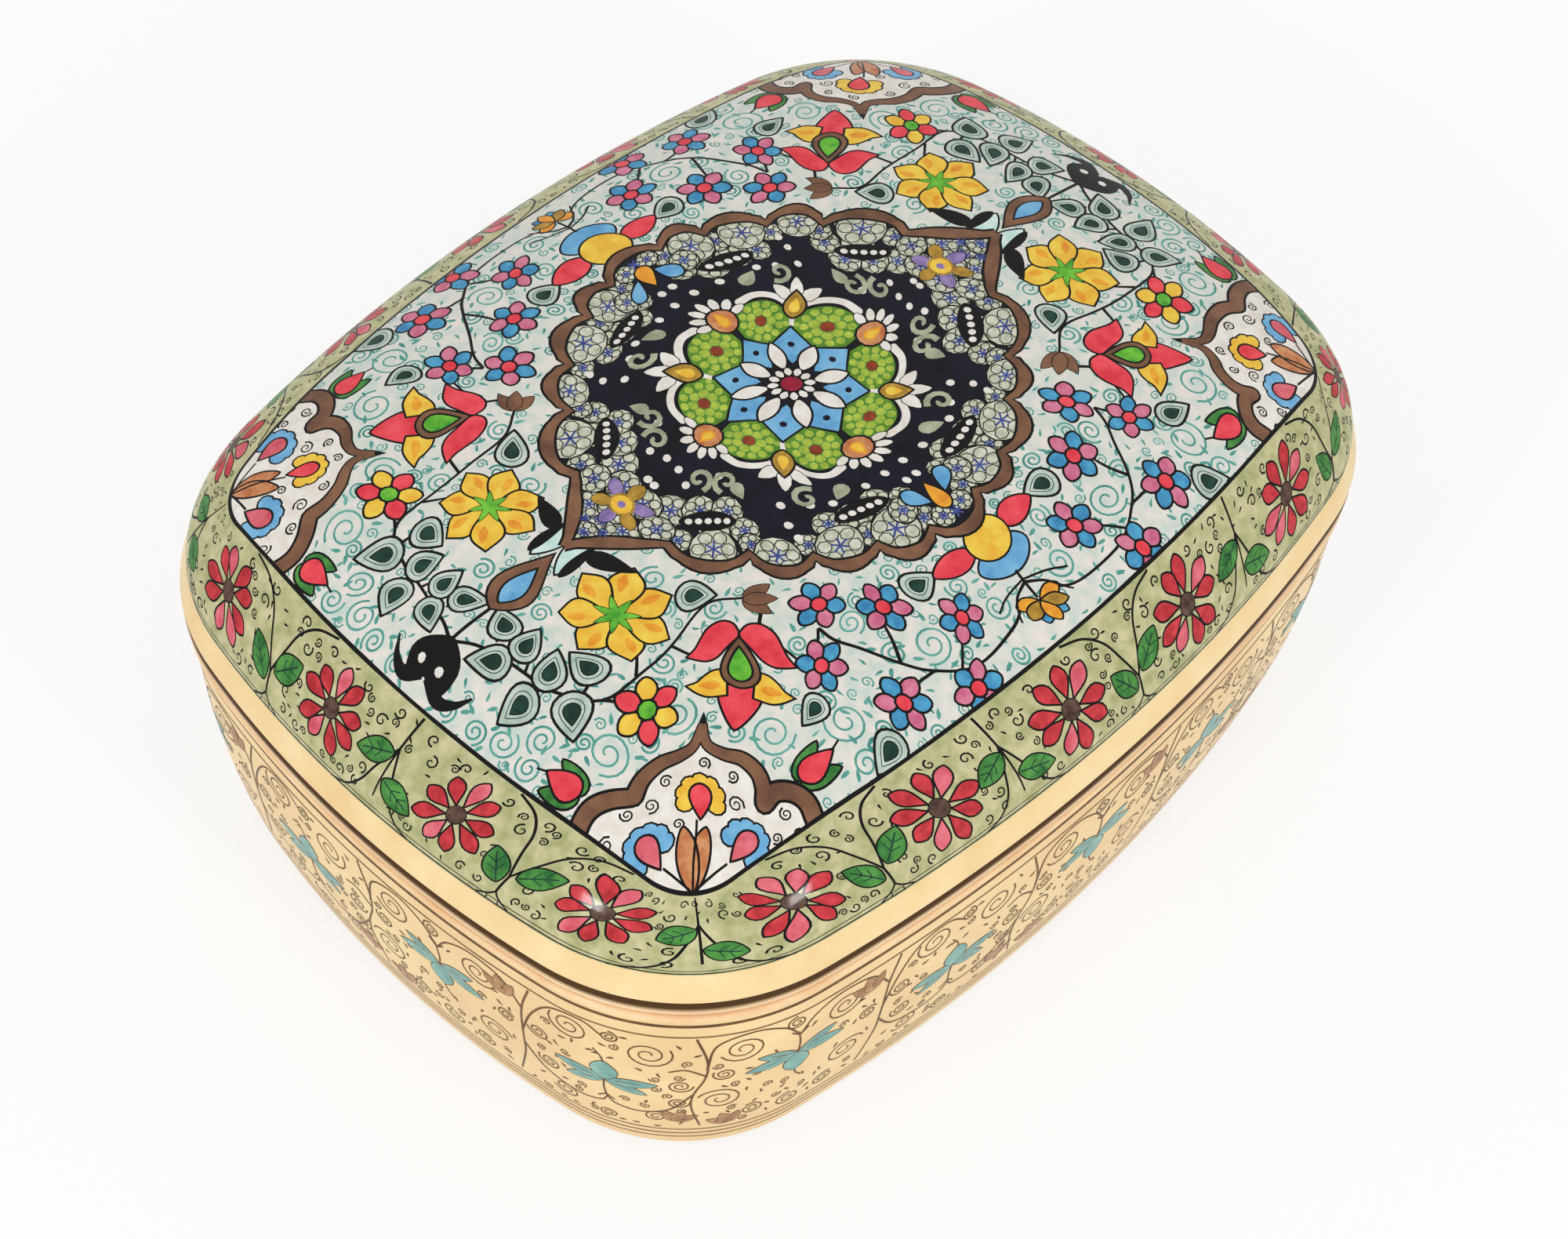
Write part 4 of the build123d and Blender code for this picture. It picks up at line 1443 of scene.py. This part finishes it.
def daisy(start, reds, size):
    """A red daisy of nine loose petals round a dark brown eye.  reds sets which of its
    petals are the pink ones and how they stray."""
    motif = []
    for k in range(9):
        turn = start + 40 * k + 4 * np.sin(3 * k + reds)
        paint = "daisy pink" if (k + reds) % 4 == 0 else "daisy red"
        reach = 4.0 + 0.35 * np.sin(2.1 * k + reds)
        leaf = petal(reach, 2.05, 1.55, 0.75) + [1.6, 0]
        dab(motif, paint, at(leaf, 0, 0, turn), "black ink", 0.26)
    dab(motif, "daisy eye", disc(1.3, 12), edge=0.14)
    return [(paint, shape * size) for paint, shape in motif]


def veined_leaf(x, y, turn, size=1.0):
    """A green leaf with its rib and four side veins."""
    motif = []
    dab(motif, "leaf green", at(petal(5.8, 3.5, 0.85, 0.8) * size, x, y, turn), "black ink", 0.24)
    stroke(motif, "pine", at(np.array([[0.2, 0], [4.9, 0]]) * size, x, y, turn), 0.22)
    for reach in (1.8, 3.2):
        for side in (1, -1):
            vein = np.array([[reach, 0], [reach + 1.1, 1.1 * side]]) * size
            stroke(motif, "pine", at(vein, x, y, turn), 0.16)
    return motif


def daisy_place(k):
    """How far round the strip daisy k stands: evenly spaced, but crowded by up to 2 mm
    towards the corners, as the painter fitted them in."""
    even = DAISY_PHASE + BORDER_ROUND / DAISIES * k
    return even - CROWDING * np.sin(4 * np.pi * (even - CORNER_PLACE) / BORDER_ROUND)


def daisy_size(s):
    """Share of its drawn size at which a daisy stands: up to an eighth larger towards the
    middle of a long side."""
    return 1 + 0.125 * np.sin(2 * np.pi * s / BORDER_ROUND) ** 2


# Curls beside a daisy by how far from it they lie, height, radius and angle.
BORDER_CURLS = (
    (5.0, 2.5, 0.9, 60), (8.2, 2.7, 0.8, 200), (8.4, 5.2, 0.9, 20), (7.4, 11.8, 1.0, 130),
    (3.4, 14.0, 0.8, 250), (9.0, 14.3, 0.9, 310),
)


def border_picture():
    """The whole strip, from the strewn marks up to the vines, the leaves and the flowers."""
    picture = []
    top = BORDER_WIDTH
    taken, curls = [], []
    for k in range(-1, DAISIES + 1):
        s = daisy_place(k)
        taken += [(s, 8.3, 5.4 * daisy_size(s)), ((s + daisy_place(k + 1)) / 2, 6.6, 4.2)]
        for side in (1, -1):
            curls += [(s + x * side, v, r, turn + 70 * k, side) for x, v, r, turn in BORDER_CURLS]
    taken += [(x, v, radius) for x, v, radius, _, _ in curls]
    strewn(picture, "black ink", taken, (0, 2.2), (BORDER_ROUND, top - 1.2), 5000, 0.95, 0.26)
    for x, v, radius, turn, hand in curls:
        stroke(picture, "black ink", curl(x, v, radius, turn, hand, 1.15, 13), 0.3, 0.6)
    for k in range(-1, DAISIES + 1):
        s = daisy_place(k)
        half = (daisy_place(k + 1) - s) / 2
        gap = s + half
        hanging = k % 2
        for side in (1, -1):
            arm = through([
                (0.3 * half, 15.8), (0.57 * half, 14.7), (0.76 * half, 12.4), (0.87 * half, 9.2),
                (half, 5.4),
            ])
            foot = through([(half, 2.4), (half - 0.9, 1.5), (half - 2.8, 0.5)])
            tick = np.array([(half - 1.2, 0.2), (half - 0.9, 1.0)])
            lines = [(arm, 0.36)] if hanging else [(arm, 0.36), (foot, 0.32), (tick, 0.24)]
            for line, width in lines:
                line = np.column_stack([gap + side * (line[:, 0] - half), line[:, 1]])
                if hanging:
                    line[:, 1] = top - line[:, 1]
                stroke(picture, "black ink", line, width)
        if hanging:
            stroke(picture, "black ink", straight((gap, top - 0.3), (gap, 2.8), 9), 0.4, 0.7)
            leaves = (veined_leaf(-0.4, 3.4, 205, 0.95), veined_leaf(0.4, -0.4, -18, 1.0))
        else:
            stroke(picture, "black ink", straight((gap, 5.4), (gap, 2.3), 4), 0.4)
            leaves = (veined_leaf(-0.9, -2.4, 128, 0.95), veined_leaf(0.9, -0.4, 40, 1.0))
        for leaf in leaves:
            fitted(picture, leaf, gap, 6.2)
        fitted(picture, daisy(37 * k, k, daisy_size(s)), s, 8.3)
    for v, width in ((0.35, 0.4), (1.15, 0.16)):
        stroke(picture, "black ink", straight((-2, v), (BORDER_ROUND + 2, v), 560), width)
    return picture


BORDER_GRID = 1.2            # loose points in the strip lie this far apart

border_field = np.vstack([
    straight((0, 0), (BORDER_ROUND, 0), 600),
    straight((BORDER_ROUND, BORDER_WIDTH), (0, BORDER_WIDTH), 600),
])
border_cut = cut_picture(border_picture(), border_field, BORDER_GRID)
lay(
    "border", border_cut, [shifted(0.0)], on_border, "lid",
    ((0, 0), BORDER_ROUND, BORDER_WIDTH, 4),
)

# ---------------------------------------------------------------------------------------
# Stage, light and camera: a white paper floor and soft studio light, and a camera where the
# photographer stood.

FLOOR_SIZE = 3000.0
WORLD_LEVEL = 0.76           # light of the room, where 1 shows white paper as white
PAPER_SHARE = 0.72           # how much of the paper that is seen is plain white


def seen_directly(tree):
    """A number socket that is 1 for the camera and for reflections and 0 for other rays."""
    rays = add_node(tree, "ShaderNodeLightPath")
    sight = add_node(
        tree, "ShaderNodeMath", {"operation": "MAXIMUM"},
        in0=rays.outputs["Is Camera Ray"], in1=rays.outputs["Is Transmission Ray"],
    )
    either = add_node(
        tree, "ShaderNodeMath", {"operation": "MAXIMUM"},
        in0=sight.outputs[0], in1=rays.outputs["Is Glossy Ray"],
    )
    return either.outputs[0]


def white_paper(name):
    """Floor paper: part of what is seen of it is plain white, the rest takes the light and
    the shadow of the box."""
    material, tree = new_material(name)
    lit = add_node(tree, "ShaderNodeBsdfDiffuse", color=linear("#FFFFFF"))
    white = add_node(tree, "ShaderNodeEmission", color=(1, 1, 1, 1), strength=1.0)
    share = add_node(
        tree, "ShaderNodeMath", {"operation": "MULTIPLY"}, in0=seen_directly(tree),
        in1=PAPER_SHARE,
    )
    mix = add_node(
        tree, "ShaderNodeMixShader", in0=share.outputs[0], in1=lit.outputs[0], in2=white.outputs[0]
    )
    add_node(tree, "ShaderNodeOutputMaterial", surface=mix.outputs[0])
    return material


half = FLOOR_SIZE / 2
floor_mesh = bpy.data.meshes.new("floor")
floor_mesh.from_pydata(
    [
        (-half * MM, -half * MM, 0), (half * MM, -half * MM, 0), (half * MM, half * MM, 0),
        (-half * MM, half * MM, 0),
    ],
    [], [(0, 1, 2, 3)],
)
floor_mesh.materials.append(white_paper("white paper floor"))
floor = bpy.data.objects.new("floor", floor_mesh)
bpy.context.scene.collection.objects.link(floor)

world = bpy.data.worlds.new("studio")
bpy.context.scene.world = world
world.use_nodes = True
world_tree = world.node_tree
world_tree.nodes.clear()
level = add_node(
    world_tree, "ShaderNodeMapRange", value=seen_directly(world_tree),
    from_min=0.0, from_max=1.0, to_min=WORLD_LEVEL, to_max=1.0,
)
background = add_node(
    world_tree, "ShaderNodeBackground", color=(1, 1, 1, 1), strength=level.outputs[0]
)
add_node(world_tree, "ShaderNodeOutputWorld", surface=background.outputs[0])


def soft_box(name, x, y, z, size, power):
    """A square studio lamp at a place in millimetres, turned to the box."""
    data = bpy.data.lights.new(name, "AREA")
    data.shape = "SQUARE"
    data.size = size * MM
    data.energy = power
    lamp = bpy.data.objects.new(name, data)
    lamp.location = (x * MM, y * MM, z * MM)
    lamp.rotation_euler = (-lamp.location).to_track_quat("-Z", "Y").to_euler()
    bpy.context.scene.collection.objects.link(lamp)


# The two lamps also stand where the varnish mirrors them beside the near corner.
soft_box("lamp at the left", -790, -120, 560, 110, 1.5)
soft_box("lamp at the front", -80, -830, 480, 110, 1.3)

CAMERA_PLACE = (-204.8, -181.7, 375.4)
CAMERA_AZIMUTH = -48.68
CAMERA_ELEVATION = 52.60
CAMERA_ROLL = 3.59
SENSOR_WIDTH = 36            # millimetres, as on a small film camera
FOCAL_LENGTH = 69.66

camera_data = bpy.data.cameras.new("camera")
camera_data.sensor_width = SENSOR_WIDTH
camera_data.lens = FOCAL_LENGTH
camera = bpy.data.objects.new("camera", camera_data)
bpy.context.scene.collection.objects.link(camera)
azimuth, elevation, roll = np.radians([CAMERA_AZIMUTH, CAMERA_ELEVATION, CAMERA_ROLL])
level_right = np.array([np.cos(azimuth), np.sin(azimuth), 0])
level_back = np.array([np.sin(azimuth), -np.cos(azimuth), 0])
back = level_back * np.cos(elevation) + [0, 0, np.sin(elevation)]
right = np.cos(roll) * level_right + np.sin(roll) * np.cross(back, level_right)
turned = np.column_stack([right, np.cross(back, right), back])
camera.matrix_world = (
    Matrix.Translation([v * MM for v in CAMERA_PLACE]) @ Matrix(turned.tolist()).to_4x4()
)
bpy.context.scene.camera = camera
bpy.context.scene.view_settings.view_transform = "Standard"
